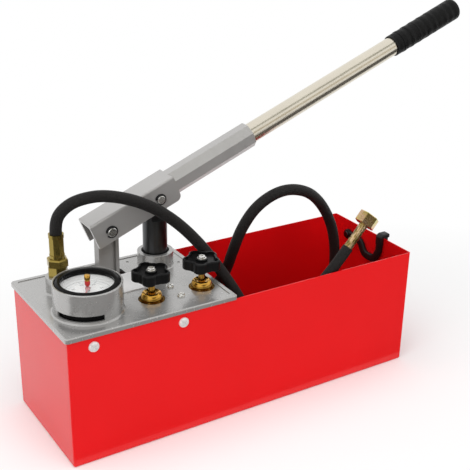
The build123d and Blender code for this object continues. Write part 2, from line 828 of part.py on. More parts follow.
# Foot valve with its ball, ball stop and strainer
foot_top = barrel_bottom + foot_spigot_height
foot_seat_z = foot_top - foot_chamber_depth
foot_neck_bottom = barrel_bottom - foot_hex_height - foot_neck_height
with BuildPart() as suction_valve_body:
    with BuildSketch(Plane.XY.offset(barrel_bottom)):
        with Locations((pump_x, pump_y)):
            Circle(foot_spigot_radius)
    extrude(amount=foot_spigot_height)
    with BuildSketch(Plane.XY.offset(barrel_bottom)):
        with Locations((pump_x, pump_y)):
            RegularPolygon(foot_hex / 2, 6, major_radius=False)
    extrude(amount=-foot_hex_height)
    with BuildSketch(Plane.XY.offset(foot_neck_bottom)):
        with Locations((pump_x, pump_y)):
            Circle(foot_neck_radius)
    extrude(amount=foot_neck_height)
    with Locations((pump_x, pump_y, foot_top)):
        Hole(foot_chamber_radius, depth=foot_chamber_depth)
        Hole(foot_bore_radius)
suction_valve_body.part.label = "suction_valve_body"

# A ball rests on the edge of the bore below it
suction_ball_z = foot_seat_z + sqrt(suction_ball_radius ** 2 - foot_bore_radius ** 2) + running_gap
with BuildPart() as suction_ball:
    with Locations((pump_x, pump_y, suction_ball_z)):
        Sphere(suction_ball_radius)
suction_ball.part.label = "suction_ball"

stop_bottom = suction_ball_z + suction_ball_radius + ball_lift + free_gap
with BuildPart() as ball_stop:
    with BuildSketch(Plane.XY.offset(foot_top)):
        with Locations((pump_x, pump_y)):
            Circle(foot_spigot_radius - cover_edge_round)
            with PolarLocations(ball_stop_hole_circle, ball_stop_holes):
                Circle(ball_stop_hole_radius, mode=Mode.SUBTRACT)
    extrude(amount=stop_bottom - foot_top + ball_stop_thickness)
    with Locations((pump_x, pump_y, foot_top)):
        with Locations(Rotation(180, 0, 0)):
            Hole(foot_chamber_radius, depth=stop_bottom - foot_top)
ball_stop.part.label = "suction_ball_stop"

strainer_top = barrel_bottom - foot_hex_height
with BuildPart() as strainer:
    with BuildSketch(Plane.XY.offset(strainer_top - strainer_height)):
        with Locations((pump_x, pump_y)):
            Circle(strainer_radius)
    extrude(amount=strainer_height)
    fillet(strainer.edges().group_by(Axis.Z)[0], strainer_wall)
    with BuildSketch(Plane.XY.offset(strainer_top - strainer_height + strainer_wall)):
        with Locations((pump_x, pump_y)):
            Circle(strainer_radius - strainer_wall)
    extrude(amount=strainer_height - 2 * strainer_wall, mode=Mode.SUBTRACT)
    with Locations((pump_x, pump_y, strainer_top)):
        Hole(foot_neck_radius + seat_gap, depth=2 * strainer_wall)
    with BuildSketch(Plane.XY.offset(strainer_top - strainer_height + 2 * strainer_wall)):
        with Locations((pump_x, pump_y)):
            with PolarLocations(strainer_radius, strainer_slots):
                Rectangle(4 * strainer_wall, strainer_slot_width)
    extrude(amount=strainer_slot_height, mode=Mode.SUBTRACT)
strainer.part.label = "suction_strainer"

# Manifold: a bar under the valves with an arm to the outlet and one to the barrel
manifold_bottom = rim_z - manifold_depth
manifold_mid_y = (manifold_front + manifold_back) / 2
gallery_z = rim_z - gallery_depth
outlet_arm_end = outlet_y + outlet_arm_overhang
with BuildPart() as manifold:
    with BuildSketch(Plane.XY.offset(manifold_bottom)):
        with Locations(((manifold_left + manifold_right) / 2, manifold_mid_y)):
            Rectangle(manifold_right - manifold_left, manifold_back - manifold_front)
        with Locations((outlet_x, (manifold_back + outlet_arm_end) / 2)):
            Rectangle(outlet_arm_width, outlet_arm_end - manifold_back)
    extrude(amount=manifold_depth)
    fillet(manifold.edges().filter_by(Axis.Z), manifold_round)
    with BuildSketch(Plane.XY.offset(pump_arm_bottom)):
        with Locations((pump_x, pump_y)):
            Circle(clamp_ring_radius)
        with Locations((pump_x, (manifold_back + pump_y) / 2)):
            Rectangle(pump_arm_width, pump_y - manifold_back)
        with Locations((pump_x, manifold_mid_y)):
            Rectangle(pump_arm_width, manifold_back - manifold_front)
    extrude(amount=pump_arm_top - pump_arm_bottom)
    with Locations((pump_x, pump_y, pump_arm_top)):
        Hole(barrel_radius + seat_gap, depth=pump_arm_top - pump_arm_bottom + overrun)
    # Delivery valve chamber, its port from the barrel and its way out to the gallery
    with Locations((pump_x, delivery_y, pump_arm_top)):
        Hole(delivery_bore_radius, depth=pump_arm_top - delivery_seat_z)
        Hole(delivery_seat_radius, depth=pump_arm_top - delivery_port_z)
    with BuildSketch(Plane.XZ.offset(-pump_y)):
        with Locations((pump_x, delivery_port_z)):
            Circle(delivery_seat_radius)
    extrude(amount=pump_y - delivery_y, mode=Mode.SUBTRACT)
    with BuildSketch(Plane.XZ.offset(-delivery_y)):
        with Locations((pump_x, delivery_outlet_z)):
            Circle(gallery_radius)
    extrude(amount=delivery_y - valve_y, mode=Mode.SUBTRACT)
    # Gallery along the bar
    with BuildSketch(Plane.YZ.offset(manifold_left)):
        with Locations((valve_y, gallery_z)):
            Circle(gallery_radius)
    extrude(amount=relief_x - manifold_left, mode=Mode.SUBTRACT)
    with BuildSketch(Plane.YZ.offset(manifold_left)):
        with Locations((valve_y, gallery_z)):
            Circle(gallery_plug_radius + seat_gap)
    extrude(amount=gallery_plug_length, mode=Mode.SUBTRACT)
    with Locations((shutoff_x, valve_y, rim_z), (relief_x, valve_y, rim_z)):
        Hole(bonnet_thread_radius + seat_gap, depth=bonnet_thread_depth)
        Hole(needle_seat_radius, depth=gallery_depth)
    with Locations((gauge_x, gauge_y, rim_z)):
        Hole(connector_radius + seat_gap, depth=connector_reach)
        Hole(gallery_radius, depth=gallery_depth)
    with Locations((outlet_x, outlet_y, rim_z)):
        Hole(outlet_thread_radius + seat_gap, depth=outlet_reach)
        Hole(gallery_radius, depth=gallery_depth)
    with BuildSketch(Plane.XZ.offset(-outlet_y)):
        with Locations((outlet_x, gallery_z)):
            Circle(gallery_radius)
    extrude(amount=outlet_y - valve_y, mode=Mode.SUBTRACT)
    # Drain from the relief valve into the tank
    with BuildSketch(Plane.YZ.offset(relief_x)):
        with Locations((valve_y, rim_z - bonnet_thread_depth + gallery_radius)):
            Circle(gallery_radius)
    extrude(amount=manifold_right - relief_x + overrun, mode=Mode.SUBTRACT)
    with Locations((plate_screw_x, manifold_mid_y, rim_z)):
        with GridLocations(0, plate_screw_pitch, 1, 2):
            Hole(plate_screw_radius + seat_gap, depth=plate_screw_length - plate_thickness + overrun)
manifold.part.label = "manifold"

with BuildPart() as gallery_plug:
    with BuildSketch(Plane.YZ.offset(manifold_left)):
        with Locations((valve_y, gallery_z)):
            Circle(gallery_plug_radius)
    extrude(amount=gallery_plug_length)
    with BuildSketch(Plane.YZ.offset(manifold_left)):
        with Locations((valve_y, gallery_z)):
            RegularPolygon(gallery_plug_socket / 2, 6, major_radius=False)
    extrude(amount=gallery_plug_length / 2, mode=Mode.SUBTRACT)
gallery_plug.part.label = "gallery_plug"

delivery_ball_z = (
    delivery_seat_z + sqrt(delivery_ball_radius ** 2 - delivery_seat_radius ** 2) + running_gap
)
with BuildPart() as delivery_ball:
    with Locations((pump_x, delivery_y, delivery_ball_z)):
        Sphere(delivery_ball_radius)
delivery_ball.part.label = "delivery_ball"

plug_pin_bottom = delivery_ball_z + delivery_ball_radius + ball_lift + free_gap
with BuildPart() as delivery_plug:
    with BuildSketch(Plane.XY.offset(pump_arm_top)):
        with Locations((pump_x, delivery_y)):
            RegularPolygon(delivery_plug_across_flats / 2, 6, major_radius=False)
    extrude(amount=delivery_plug_head)
    chamfer(delivery_plug.edges().group_by(Axis.Z)[-1], cover_edge_round / 2)
    with BuildSketch(Plane.XY.offset(pump_arm_top - delivery_plug_reach)):
        with Locations((pump_x, delivery_y)):
            Circle(delivery_bore_radius - seat_gap)
    extrude(amount=delivery_plug_reach)
    with BuildSketch(Plane.XY.offset(plug_pin_bottom)):
        with Locations((pump_x, delivery_y)):
            Circle(delivery_plug_pin_radius)
    extrude(amount=pump_arm_top - plug_pin_bottom)
delivery_plug.part.label = "delivery_plug"

# Two valves of one design: bonnet, spindle, star knob, washer and screw
bonnet_top = rim_z + bonnet_height
knob_bottom_z = plate_top + knob_lift
spindle_top_z = knob_bottom_z + spindle_neck_height
knob_top_z = knob_bottom_z + knob_height
for valve_name, valve_x in (("shutoff", shutoff_x), ("relief", relief_x)):
    with BuildPart() as bonnet:
        with BuildSketch(Plane.XY.offset(rim_z)):
            with Locations((valve_x, valve_y)):
                RegularPolygon(bonnet_across_flats / 2, 6, major_radius=False, rotation=knob_turn)
        extrude(amount=bonnet_height)
        # The corners are turned off by a cone
        with BuildSketch(Plane.XY.offset(bonnet_top - bonnet_chamfer)):
            with Locations((valve_x, valve_y)):
                Circle(bonnet_across_flats)
                Circle(bonnet_chamfer_radius, mode=Mode.SUBTRACT)
        extrude(amount=bonnet_chamfer + overrun, taper=-45, mode=Mode.SUBTRACT)
        with BuildSketch(Plane.XY.offset(bonnet_top)):
            with Locations((valve_x, valve_y)):
                Circle(bonnet_dome_radius)
        extrude(amount=bonnet_dome_height, taper=bonnet_dome_taper)
        fillet(bonnet.edges().group_by(Axis.Z)[-1], bonnet_dome_round)
        with BuildSketch(Plane.XY.offset(rim_z - bonnet_thread_depth)):
            with Locations((valve_x, valve_y)):
                Circle(bonnet_thread_radius)
        extrude(amount=bonnet_thread_depth)
        with Locations((valve_x, valve_y, bonnet_top + bonnet_dome_height)):
            Hole(spindle_radius + running_gap)
    bonnet.part.label = valve_name + "_bonnet"
    export_step(bonnet.part, "parts/" + valve_name + "_bonnet.step")

    with BuildPart() as spindle:
        with BuildSketch(Plane.XY.offset(rim_z - bonnet_thread_depth + spindle_tip_length / 2)):
            with Locations((valve_x, valve_y)):
                Circle(spindle_radius)
        extrude(amount=knob_bottom_z - rim_z + bonnet_thread_depth - spindle_tip_length / 2)
        with BuildSketch(Plane.XY.offset(knob_bottom_z)):
            with Locations((valve_x, valve_y)):
                Circle(spindle_neck_radius)
        extrude(amount=spindle_top_z - knob_bottom_z)
        # Needle tip on the seat
        with BuildSketch(Plane.XY.offset(rim_z - bonnet_thread_depth + spindle_tip_length / 2)):
            with Locations((valve_x, valve_y)):
                Circle(spindle_tip_radius)
        extrude(amount=-spindle_tip_length / 2 + running_gap, taper=degrees(atan2(1, 4)))
    spindle.part.label = valve_name + "_spindle"
    export_step(spindle.part, "parts/" + valve_name + "_spindle.step")

    with BuildPart() as knob:
        with BuildSketch(Plane.XY.offset(knob_bottom_z)) as star:
            with Locations(Location((valve_x, valve_y, 0), (0, 0, knob_turn))):
                Circle(knob_core_radius)
                with PolarLocations(knob_lobe_centre, knob_lobes):
                    Circle(knob_lobe_radius)
            fillet(star.vertices(), knob_valley_round)
        extrude(amount=knob_height)
        fillet(knob.edges().group_by(Axis.Z)[-1], knob_edge_round)
        fillet(knob.edges().group_by(Axis.Z)[0], knob_edge_round)
        with BuildSketch(Plane.XY.offset(knob_top_z)):
            with Locations(Location((valve_x, valve_y, 0), (0, 0, knob_turn))):
                Circle(knob_core_radius - knob_rim)
                with PolarLocations(knob_lobe_centre, knob_lobes):
                    Circle(knob_lobe_radius - knob_rim)
        extrude(amount=-knob_recess, mode=Mode.SUBTRACT)
        with BuildSketch(Plane.XY.offset(knob_top_z - knob_recess)):
            with Locations((valve_x, valve_y)):
                Circle(knob_hub_radius)
        extrude(amount=knob_recess - knob_hub_drop)
        # Socket for the spindle's neck, blind below the screw
        with BuildSketch(Plane.XY.offset(knob_bottom_z)):
            with Locations((valve_x, valve_y)):
                Circle(spindle_neck_radius + running_gap)
        extrude(amount=spindle_top_z - knob_bottom_z + seat_gap, mode=Mode.SUBTRACT)
        with Locations((valve_x, valve_y, knob_top_z)):
            Hole(knob_screw_radius + seat_gap, depth=knob_height / 2)
    knob.part.label = valve_name + "_knob"
    export_step(knob.part, "parts/" + valve_name + "_knob.step")

    hub_top = knob_top_z - knob_hub_drop
    with BuildPart() as washer:
        with BuildSketch(Plane.XY.offset(hub_top)):
            with Locations((valve_x, valve_y)):
                Circle(knob_washer_radius)
                Circle(knob_screw_radius + seat_gap, mode=Mode.SUBTRACT)
        extrude(amount=knob_washer_height)
    washer.part.label = valve_name + "_knob_washer"
    export_step(washer.part, "parts/" + valve_name + "_knob_washer.step")

    with BuildPart() as knob_screw:
        with BuildSketch(Plane.XY.offset(hub_top + knob_washer_height)):
            with Locations((valve_x, valve_y)):
                Circle(knob_screw_head_radius)
        extrude(amount=knob_screw_head_height)
        fillet(knob_screw.edges().group_by(Axis.Z)[-1], knob_screw_head_height / 2)
        with BuildSketch(Plane.XY.offset(hub_top + knob_washer_height)):
            with Locations((valve_x, valve_y)):
                Circle(knob_screw_radius)
        extrude(amount=-(hub_top + knob_washer_height - spindle_top_z - seat_gap))
        with BuildSketch(Plane.XY.offset(hub_top + knob_washer_height + knob_screw_head_height)):
            with Locations((valve_x, valve_y)):
                Rectangle(knob_screw_head_radius, slot_width)
                Rectangle(slot_width, knob_screw_head_radius)
        extrude(amount=-slot_depth, mode=Mode.SUBTRACT)
    knob_screw.part.label = valve_name + "_knob_screw"
    export_step(knob_screw.part, "parts/" + valve_name + "_knob_screw.step")

# Fulcrum link: an H-section strut with an eye at each end
with BuildPart() as fulcrum_link:
    with BuildSketch(upright_plane):
        with Locations((pivot_x, (link_base_z + pivot_z) / 2)):
            Rectangle(link_width, pivot_z - link_base_z)
    extrude(amount=link_depth / 2, both=True)
    for side in (-1, 1):
        recess_plane = upright_plane.offset(side * link_depth / 2)
        recess_depth = (link_depth - link_web) / 2
        with BuildSketch(recess_plane):
            with Locations((pivot_x, (link_base_z + pivot_z) / 2)):
                RectangleRounded(
                    link_width - 2 * link_flange,
                    pivot_z - link_base_z - link_top_radius - link_base_radius,
                    link_recess_radius,
                )
        extrude(amount=-side * recess_depth, mode=Mode.SUBTRACT)
    with BuildSketch(upright_plane):
        with Locations((pivot_x, pivot_z)):
            Circle(link_top_radius)
    extrude(amount=link_top_width / 2, both=True)
    with BuildSketch(upright_plane):
        with Locations((pivot_x, link_base_z)):
            Circle(link_width / 2)
    extrude(amount=link_depth / 2, both=True)
    with BuildSketch(upright_plane):
        with Locations((pivot_x, link_base_z)):
            Circle(link_base_radius)
    extrude(amount=link_base_width / 2, both=True)
    with BuildSketch(upright_plane):
        with Locations((pivot_x, pivot_z)):
            Circle(pivot_pin_radius + running_gap)
        with Locations((pivot_x, link_base_z)):
            Circle(base_pin_radius + running_gap)
    extrude(amount=link_top_width, both=True, mode=Mode.SUBTRACT)
fulcrum_link.part.label = "fulcrum_link"

base_pin_half = lug_offset + lug_thickness
with BuildPart() as link_base_pin:
    with BuildSketch(upright_plane.offset(-base_pin_half - base_pin_head_height)):
        with Locations((pivot_x, link_base_z)):
            Circle(base_pin_radius)
    extrude(amount=2 * (base_pin_half + base_pin_head_height))
    with BuildSketch(upright_plane.offset(base_pin_half)):
        with Locations((pivot_x, link_base_z)):
            Circle(base_pin_head_radius)
    extrude(amount=base_pin_head_height)
link_base_pin.part.label = "link_base_pin"

# Lever head: a hollow box section, open below and at its left end, with an eight-sided socket
head_end_wall_start = head_nose - head_wall
with BuildPart() as lever_head:
    with BuildSketch(lever_plane) as side_outline:
        with BuildLine():
            Polyline(
                (-head_tail, -head_bottom),
                (-head_tail, head_top),
                (head_nose, head_top),
                (head_nose, -head_bottom),
                close=True,
            )
        make_face()
        fillet(side_outline.vertices().sort_by(Axis.X)[-2:].sort_by(Axis.Y)[0], head_nose_round)
    extrude(amount=head_width / 2, both=True)
    top_edges = lever_head.edges().filter_by(
        lambda e: (lever_plane.to_local_coords(e.center()).Y > head_top - running_gap)
    )
    fillet(top_edges, head_round)
    socket_plane = Plane(
        origin=lever_plane.from_local_coords((head_end_wall_start, lever_axis_offset, 0)),
        x_dir=(0, -1, 0),
        z_dir=lever_plane.x_dir,
    )
    with BuildSketch(socket_plane):
        RegularPolygon(socket_across_flats / 2, 8, major_radius=False, rotation=22.5)
    extrude(amount=socket_end - head_end_wall_start)
    # Hollow for the link's eye and the plunger's head
    with BuildSketch(lever_plane) as hollow:
        with BuildLine():
            Polyline(
                (-head_tail - overrun, -head_bottom - overrun),
                (-head_tail - overrun, head_top - head_wall),
                (head_end_wall_start, head_top - head_wall),
                (head_end_wall_start, -head_bottom - overrun),
                close=True,
            )
        make_face()
    extrude(amount=head_width / 2 - head_wall, both=True, mode=Mode.SUBTRACT)
    with BuildSketch(socket_plane.offset(tube_start - head_end_wall_start)):
        Circle(tube_radius + seat_gap)
    extrude(amount=socket_end - tube_start + overrun, mode=Mode.SUBTRACT)
    with BuildSketch(lever_plane):
        Circle(pivot_pin_radius + seat_gap)
        with Locations((pin_along, pin_across)):
            Circle(piston_pin_radius + seat_gap)
    extrude(amount=head_width, both=True, mode=Mode.SUBTRACT)
lever_head.part.label = "lever_head"

with BuildPart() as lever_tube:
    with BuildSketch(socket_plane.offset(tube_start - head_end_wall_start)):
        Circle(tube_radius)
        Circle(tube_radius - tube_wall, mode=Mode.SUBTRACT)
    extrude(amount=tube_end - tube_start)
lever_tube.part.label = "lever_tube"

# Grip: a moulded sleeve with shallow ribs and a closed, rounded end
grip_length = grip_end - grip_start
rib_count = int((grip_length - 2 * grip_rib_pitch) / grip_rib_pitch)
with BuildPart() as lever_grip:
    with BuildSketch(Plane(
        origin=lever_plane.from_local_coords((grip_start, lever_axis_offset, 0)),
        x_dir=lever_plane.x_dir,
        z_dir=(0, -1, 0),
    )) as grip_profile:
        with BuildLine():
            Polyline(
                (0, 0),
                (0, grip_radius),
                (grip_length - grip_end_round, grip_rib_radius),
                (grip_length, grip_rib_radius),
                (grip_length, 0),
                close=True,
            )
        make_face()
        with Locations(*[(grip_rib_pitch * (i + 1), grip_radius) for i in range(rib_count)]):
            RectangleRounded(grip_rib_width, 2 * (grip_rib_radius - grip_radius), seat_gap)
        fillet(grip_profile.vertices().group_by(Axis.X)[-1].sort_by(Axis.Y)[-1], grip_end_round)
    revolve(axis=Axis(lever_plane.from_local_coords((0, lever_axis_offset, 0)), lever_plane.x_dir))
    with BuildSketch(socket_plane.offset(grip_start - head_end_wall_start - overrun)):
        Circle(tube_radius + seat_gap)
    extrude(amount=tube_end - grip_start + overrun + seat_gap, mode=Mode.SUBTRACT)
lever_grip.part.label = "lever_grip"

# The lever's two pins and their spring clips
pin_spots = (
    ("pivot_pin", 0, 0, pivot_pin_radius),
    ("piston_pin", pin_along, pin_across, piston_pin_radius),
)
for pin_name, along, across, radius in pin_spots:
    clip_place = head_width / 2 + seat_gap
    with BuildPart() as pin:
        with BuildSketch(lever_plane.offset(-head_width / 2 - pin_standout)):
            with Locations((along, across)):
                Circle(radius)
        extrude(amount=head_width + 2 * pin_standout)
        chamfer(pin.edges().filter_by(GeomType.CIRCLE), clip_groove_depth)
        for side in (-1, 1):
            with BuildSketch(lever_plane.offset(side * clip_place)):
                with Locations((along, across)):
                    Circle(radius + overrun)
                    Circle(radius - clip_groove_depth, mode=Mode.SUBTRACT)
            extrude(amount=side * (clip_thickness + seat_gap), mode=Mode.SUBTRACT)
    pin.part.label = pin_name
    export_step(pin.part, "parts/" + pin_name + ".step")

    with BuildPart() as clips:
        for side in (-1, 1):
            with BuildSketch(lever_plane.offset(side * clip_place)):
                with Locations((along, across)):
                    Circle(radius - clip_groove_depth + seat_gap + clip_radial_width)
                    Circle(radius - clip_groove_depth + seat_gap, mode=Mode.SUBTRACT)
                    with Locations((-radius, 0)):
                        Rectangle(2 * radius, clip_mouth_width, mode=Mode.SUBTRACT)
            extrude(amount=side * clip_thickness)
    clips.part.label = pin_name + "_clips"
    export_step(clips.part, "parts/" + pin_name + "_clips.step")

# Outlet: adapter in the boss, union nut and the hose's ferrule
hex_top = boss_top + outlet_hex_height
union_top = hex_top + union_height
with BuildPart() as outlet_adapter:
    with BuildSketch(Plane.XY.offset(rim_z - outlet_reach)):
        with Locations((outlet_x, outlet_y)):
            Circle(outlet_thread_radius)
    extrude(amount=boss_top - rim_z + outlet_reach)
    with BuildSketch(Plane.XY.offset(boss_top)):
        with Locations((outlet_x, outlet_y)):
            RegularPolygon(outlet_hex / 2, 6, major_radius=False)
    extrude(amount=outlet_hex_height)
    with BuildSketch(Plane.XY.offset(hex_top)):
        with Locations((outlet_x, outlet_y)):
            Circle(outlet_nipple_radius)
    extrude(amount=outlet_nipple_height)
    with Locations((outlet_x, outlet_y, hex_top + outlet_nipple_height)):
        Hole(fitting_bore_radius)
outlet_adapter.part.label = "outlet_adapter"

with BuildPart() as union_nut:
    with BuildSketch(Plane.XY.offset(hex_top)):
        with Locations((outlet_x, outlet_y)):
            RegularPolygon(union_hex / 2, 6, major_radius=False, rotation=knob_turn)
    extrude(amount=union_height)
    chamfer(union_nut.edges().group_by(Axis.Z)[-1], nut_chamfer)
    with Locations((outlet_x, outlet_y, hex_top + outlet_nipple_height)):
        Hole(outlet_nipple_radius + seat_gap, depth=outlet_nipple_height + overrun)
        with Locations((0, 0, union_height - outlet_nipple_height)):
            Hole(fitting_bore_radius + union_lip + seat_gap)
union_nut.part.label = "outlet_union_nut"

with BuildPart() as outlet_ferrule:
    with BuildSketch(Plane.XY.offset(union_top)):
        with Locations((outlet_x, outlet_y)):
            Circle(ferrule_radius)
    extrude(amount=ferrule_band)
    with BuildSketch(Plane.XY.offset(union_top + ferrule_band)):
        with Locations((outlet_x, outlet_y)):
            RegularPolygon(ferrule_radius, ferrule_sides)
    extrude(amount=ferrule_length - 2 * ferrule_band)
    with BuildSketch(Plane.XY.offset(union_top + ferrule_length - ferrule_band)):
        with Locations((outlet_x, outlet_y)):
            Circle(ferrule_radius)
    extrude(amount=ferrule_band)
    # Nose inside the union nut
    with BuildSketch(Plane.XY.offset(hex_top + outlet_nipple_height)):
        with Locations((outlet_x, outlet_y)):
            Circle(fitting_bore_radius + union_lip)
    extrude(amount=union_height - outlet_nipple_height)
    with Locations((outlet_x, outlet_y, union_top)):
        with Locations(Rotation(180, 0, 0)):
            Hole(fitting_bore_radius / 2, depth=union_height)
outlet_ferrule.part.label = "hose_ferrule_outlet"

# Hose: straight runs joined by tangent arcs. It rises from the ferrule, then follows these
# points, laid out in a tank of the route's size and stretched with the tank.
hose_start_z = union_top + ferrule_length
hose_points = [
    (-192, 30, 266),
    (-175, 26, 275),
    (-146, 18, 278),
    (-106, 6, 266),
    (-68, 0, 239),
    (-36, -7, 203),
    (-13, -17, 167),
    (3, -40, 132),
    (8, -67, 94),
    (10, -70, 49),
    (13, -29, 9),
    (17, 29, 9),
    (21, 70, 50),
    (27, 66, 98),
    (26, 35, 134),
    (21, 11, 174),
    (25, -2, 210),
    (43, -9, 240),
    (76, -14, 256),
    (113, -13, 248),
    (145, -3, 223),
    (171, 4, 186),
    (185, 10, 145),
    (190, 16, 98),
    (189, 16, 50),
    (152, 6, 9),
    (96, -10, 9),
    (60, -28, 48),
    (61, -51, 102),
    (103, -69, 139),
    (142, -69, 184),
]
arc_share = 0.45
route = [
    Vector(outlet_x, outlet_y, hose_start_z),
    Vector(outlet_x, outlet_y, hose_start_z + hose_first_rise),
]
for x, y, z in hose_points:
    above_rim = max(z - route_height, 0)
    route.append(Vector(
        x * tank_length / route_length,
        y * tank_width / route_width,
        min(z, route_height) * tank_height / route_height + above_rim,
    ))
runs = [route[i + 1] - route[i] for i in range(len(route) - 1)]
turns = [runs[i].get_angle(runs[i + 1]) for i in range(len(runs) - 1)]
radii = [
    arc_share * min(runs[i].length, runs[i + 1].length) / tan(radians(turns[i] / 2))
    for i in range(len(turns))
]
print("hose radii", [round(radius, 1) for radius in radii])
with BuildPart() as hose:
    with BuildLine() as hose_path:
        FilletPolyline(*route, radius=radii)
    with BuildSketch(Plane(origin=route[0], z_dir=runs[0])):
        Circle(hose_radius)
    sweep()
hose.part.label = "hose"
hose_length = hose_path.wire().length
print("hose length", round(hose_length, 1), "volume", round(hose.part.volume, 1))
print("section times length", round(pi * hose_radius ** 2 * hose_length, 1))

# Hose end: tail, then the swivel nut
end_direction = runs[-1].normalized()
end_plane = Plane(origin=route[-1], x_dir=(0, 1, 0), z_dir=end_direction)
groove_count = int((nut_start - tail_groove_pitch) / tail_groove_pitch)
flange_start = nut_start + nut_back_wall + free_gap
with BuildPart() as hose_tail:
    with BuildSketch(end_plane):
        Circle(tail_radius)
    extrude(amount=flange_start + tail_flange_height)
    for i in range(groove_count):
        with BuildSketch(end_plane.offset(tail_groove_pitch * (i + 1))):
            Circle(tail_radius + overrun)
            Circle(tail_radius - tail_groove_depth, mode=Mode.SUBTRACT)
        extrude(amount=tail_groove_width, mode=Mode.SUBTRACT)
    with BuildSketch(end_plane.offset(flange_start)):
        Circle(tail_flange_radius)
    extrude(amount=tail_flange_height)
    with BuildSketch(end_plane.offset(flange_start)):
        Circle(fitting_bore_radius)
    extrude(amount=tail_flange_height + overrun, mode=Mode.SUBTRACT)
hose_tail.part.label = "hose_tail"

with BuildPart() as end_nut:
    with BuildSketch(end_plane.offset(nut_start)):
        RegularPolygon(nut_across_flats / 2, 6, major_radius=False)
    extrude(amount=nut_length)
    for along in (0, nut_length):
        end_edges = end_nut.edges().filter_by(
            lambda e: abs(end_plane.to_local_coords(e.center()).Z - nut_start - along) < seat_gap
        )
        chamfer(end_edges, nut_chamfer / 2)
    # Thread, with a relief behind it where the tail's flange turns
    with BuildSketch(end_plane.offset(flange_start + tail_flange_height)):
        Circle(nut_thread_radius)
    extrude(amount=nut_length, mode=Mode.SUBTRACT)
    with BuildSketch(end_plane.offset(nut_start + nut_back_wall)):
        Circle(nut_thread_radius + nut_relief_depth)
    extrude(amount=flange_start + tail_flange_height - nut_start - nut_back_wall, mode=Mode.SUBTRACT)
    with BuildSketch(end_plane.offset(nut_start - overrun)):
        Circle(tail_radius + nut_bore_gap)
    extrude(amount=nut_length, mode=Mode.SUBTRACT)
end_nut.part.label = "end_nut"
nut_mouth = route[-1] + end_direction * (nut_start + nut_length)
print("nut mouth", nut_mouth, "direction", end_direction)

# Strap on the end wall: it hangs from a rivet and hooks over the rim
strap_face = inner_half_length - strap_thickness - seat_gap
with BuildPart() as lever_strap:
    with BuildSketch(Plane.YZ.offset(strap_face)):
        with BuildLine() as strap_line:
            FilletPolyline(
                (strap_anchor_y, strap_anchor_z),
                (strap_anchor_y - strap_shoulder, strap_anchor_z),
                (strap_low_y + strap_bottom_half, strap_low_z),
                (strap_low_y - strap_bottom_half, strap_low_z),
                (strap_hook_y, strap_anchor_z),
                (strap_hook_y, rim_z),
                radius=strap_bend_radius,
            )
        trace(line_width=strap_width)
        with Locations((strap_anchor_y, strap_anchor_z)):
            Circle(strap_eye_radius)
            Circle(anchor_radius + seat_gap, mode=Mode.SUBTRACT)
    extrude(amount=strap_thickness)
    # Hook: over the rim, with a lip outside the wall
    hook_bottom = rim_z + seat_gap
    hook_top = hook_bottom + strap_hook_height
    hook_end = tank_length / 2 + strap_hook_reach
    lip_start = tank_length / 2 + strap_lip_gap
    lip_end = lip_start + strap_lip_thickness
    with BuildSketch(Plane.XZ.offset(-strap_hook_y)) as hook_sketch:
        with BuildLine():
            Polyline(
                (strap_face, rim_z - strap_hook_height),
                (strap_face, hook_top),
                (hook_end, hook_top),
                (hook_end, hook_bottom),
                (lip_end, hook_bottom),
                (lip_end, hook_bottom - strap_hook_lip),
                (lip_start, hook_bottom - strap_hook_lip),
                (lip_start, hook_bottom),
                (strap_face + strap_thickness, hook_bottom),
                (strap_face + strap_thickness, rim_z - strap_hook_height),
                close=True,
            )
        make_face()
        fillet(hook_sketch.vertices().group_by(Axis.Y)[-1], strap_hook_round)
    extrude(amount=strap_hook_width / 2, both=True)
lever_strap.part.label = "lever_strap"

with BuildPart() as strap_rivet:
    with BuildSketch(Plane.YZ.offset(strap_face)):
        with Locations((strap_anchor_y, strap_anchor_z)):
            Circle(anchor_radius)
    extrude(amount=strap_thickness + seat_gap + tank_sheet)
    with BuildSketch(Plane.YZ.offset(strap_face)):
        with Locations((strap_anchor_y, strap_anchor_z)):
            Circle(anchor_head_radius)
    extrude(amount=-anchor_head_height)
    fillet(strap_rivet.edges().group_by(Axis.X)[0], anchor_head_height / 2)
    with BuildSketch(Plane.YZ.offset(tank_length / 2)):
        with Locations((strap_anchor_y, strap_anchor_z)):
            Circle(anchor_head_radius)
    extrude(amount=anchor_head_height)
strap_rivet.part.label = "strap_rivet"

pieces = [
    tank, cover, cover_screws, plate_screws,
    gauge_case, gauge_connector, bourdon_tube, gauge_movement, gauge_dial, gauge_needle,
    gauge_bezel, gauge_window, set_pointer, set_pointer_knob,
    piston, guide_bush, piston_wiper, piston_seal, pump_barrel,
    suction_valve_body, suction_ball, ball_stop, strainer,
    manifold, gallery_plug, delivery_ball, delivery_plug,
    fulcrum_link, link_base_pin, lever_head, lever_tube, lever_grip,
    outlet_adapter, union_nut, outlet_ferrule, hose, hose_tail, end_nut,
    lever_strap, strap_rivet,
]
for piece in pieces:
    export_step(piece.part, "parts/" + piece.part.label + ".step")
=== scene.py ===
# %% [markdown]
# # A hydrostatic test pump
# A plumber's test pump stands in its own water tank. The tank is bent from sheet steel and
# enamelled red, a grey casting closes its left part and carries the pump, and a black hose runs
# from the outlet, through the tank, to a swivel nut. The solid model already holds every piece
# that fits or moves. This scene gives those pieces their finish and adds what a solid model
# leaves out: the soft hose, the printed dial, the thread in the nut and the blank label.

# %% Load the solid model
import math

import bpy
from mathutils import Matrix, Vector


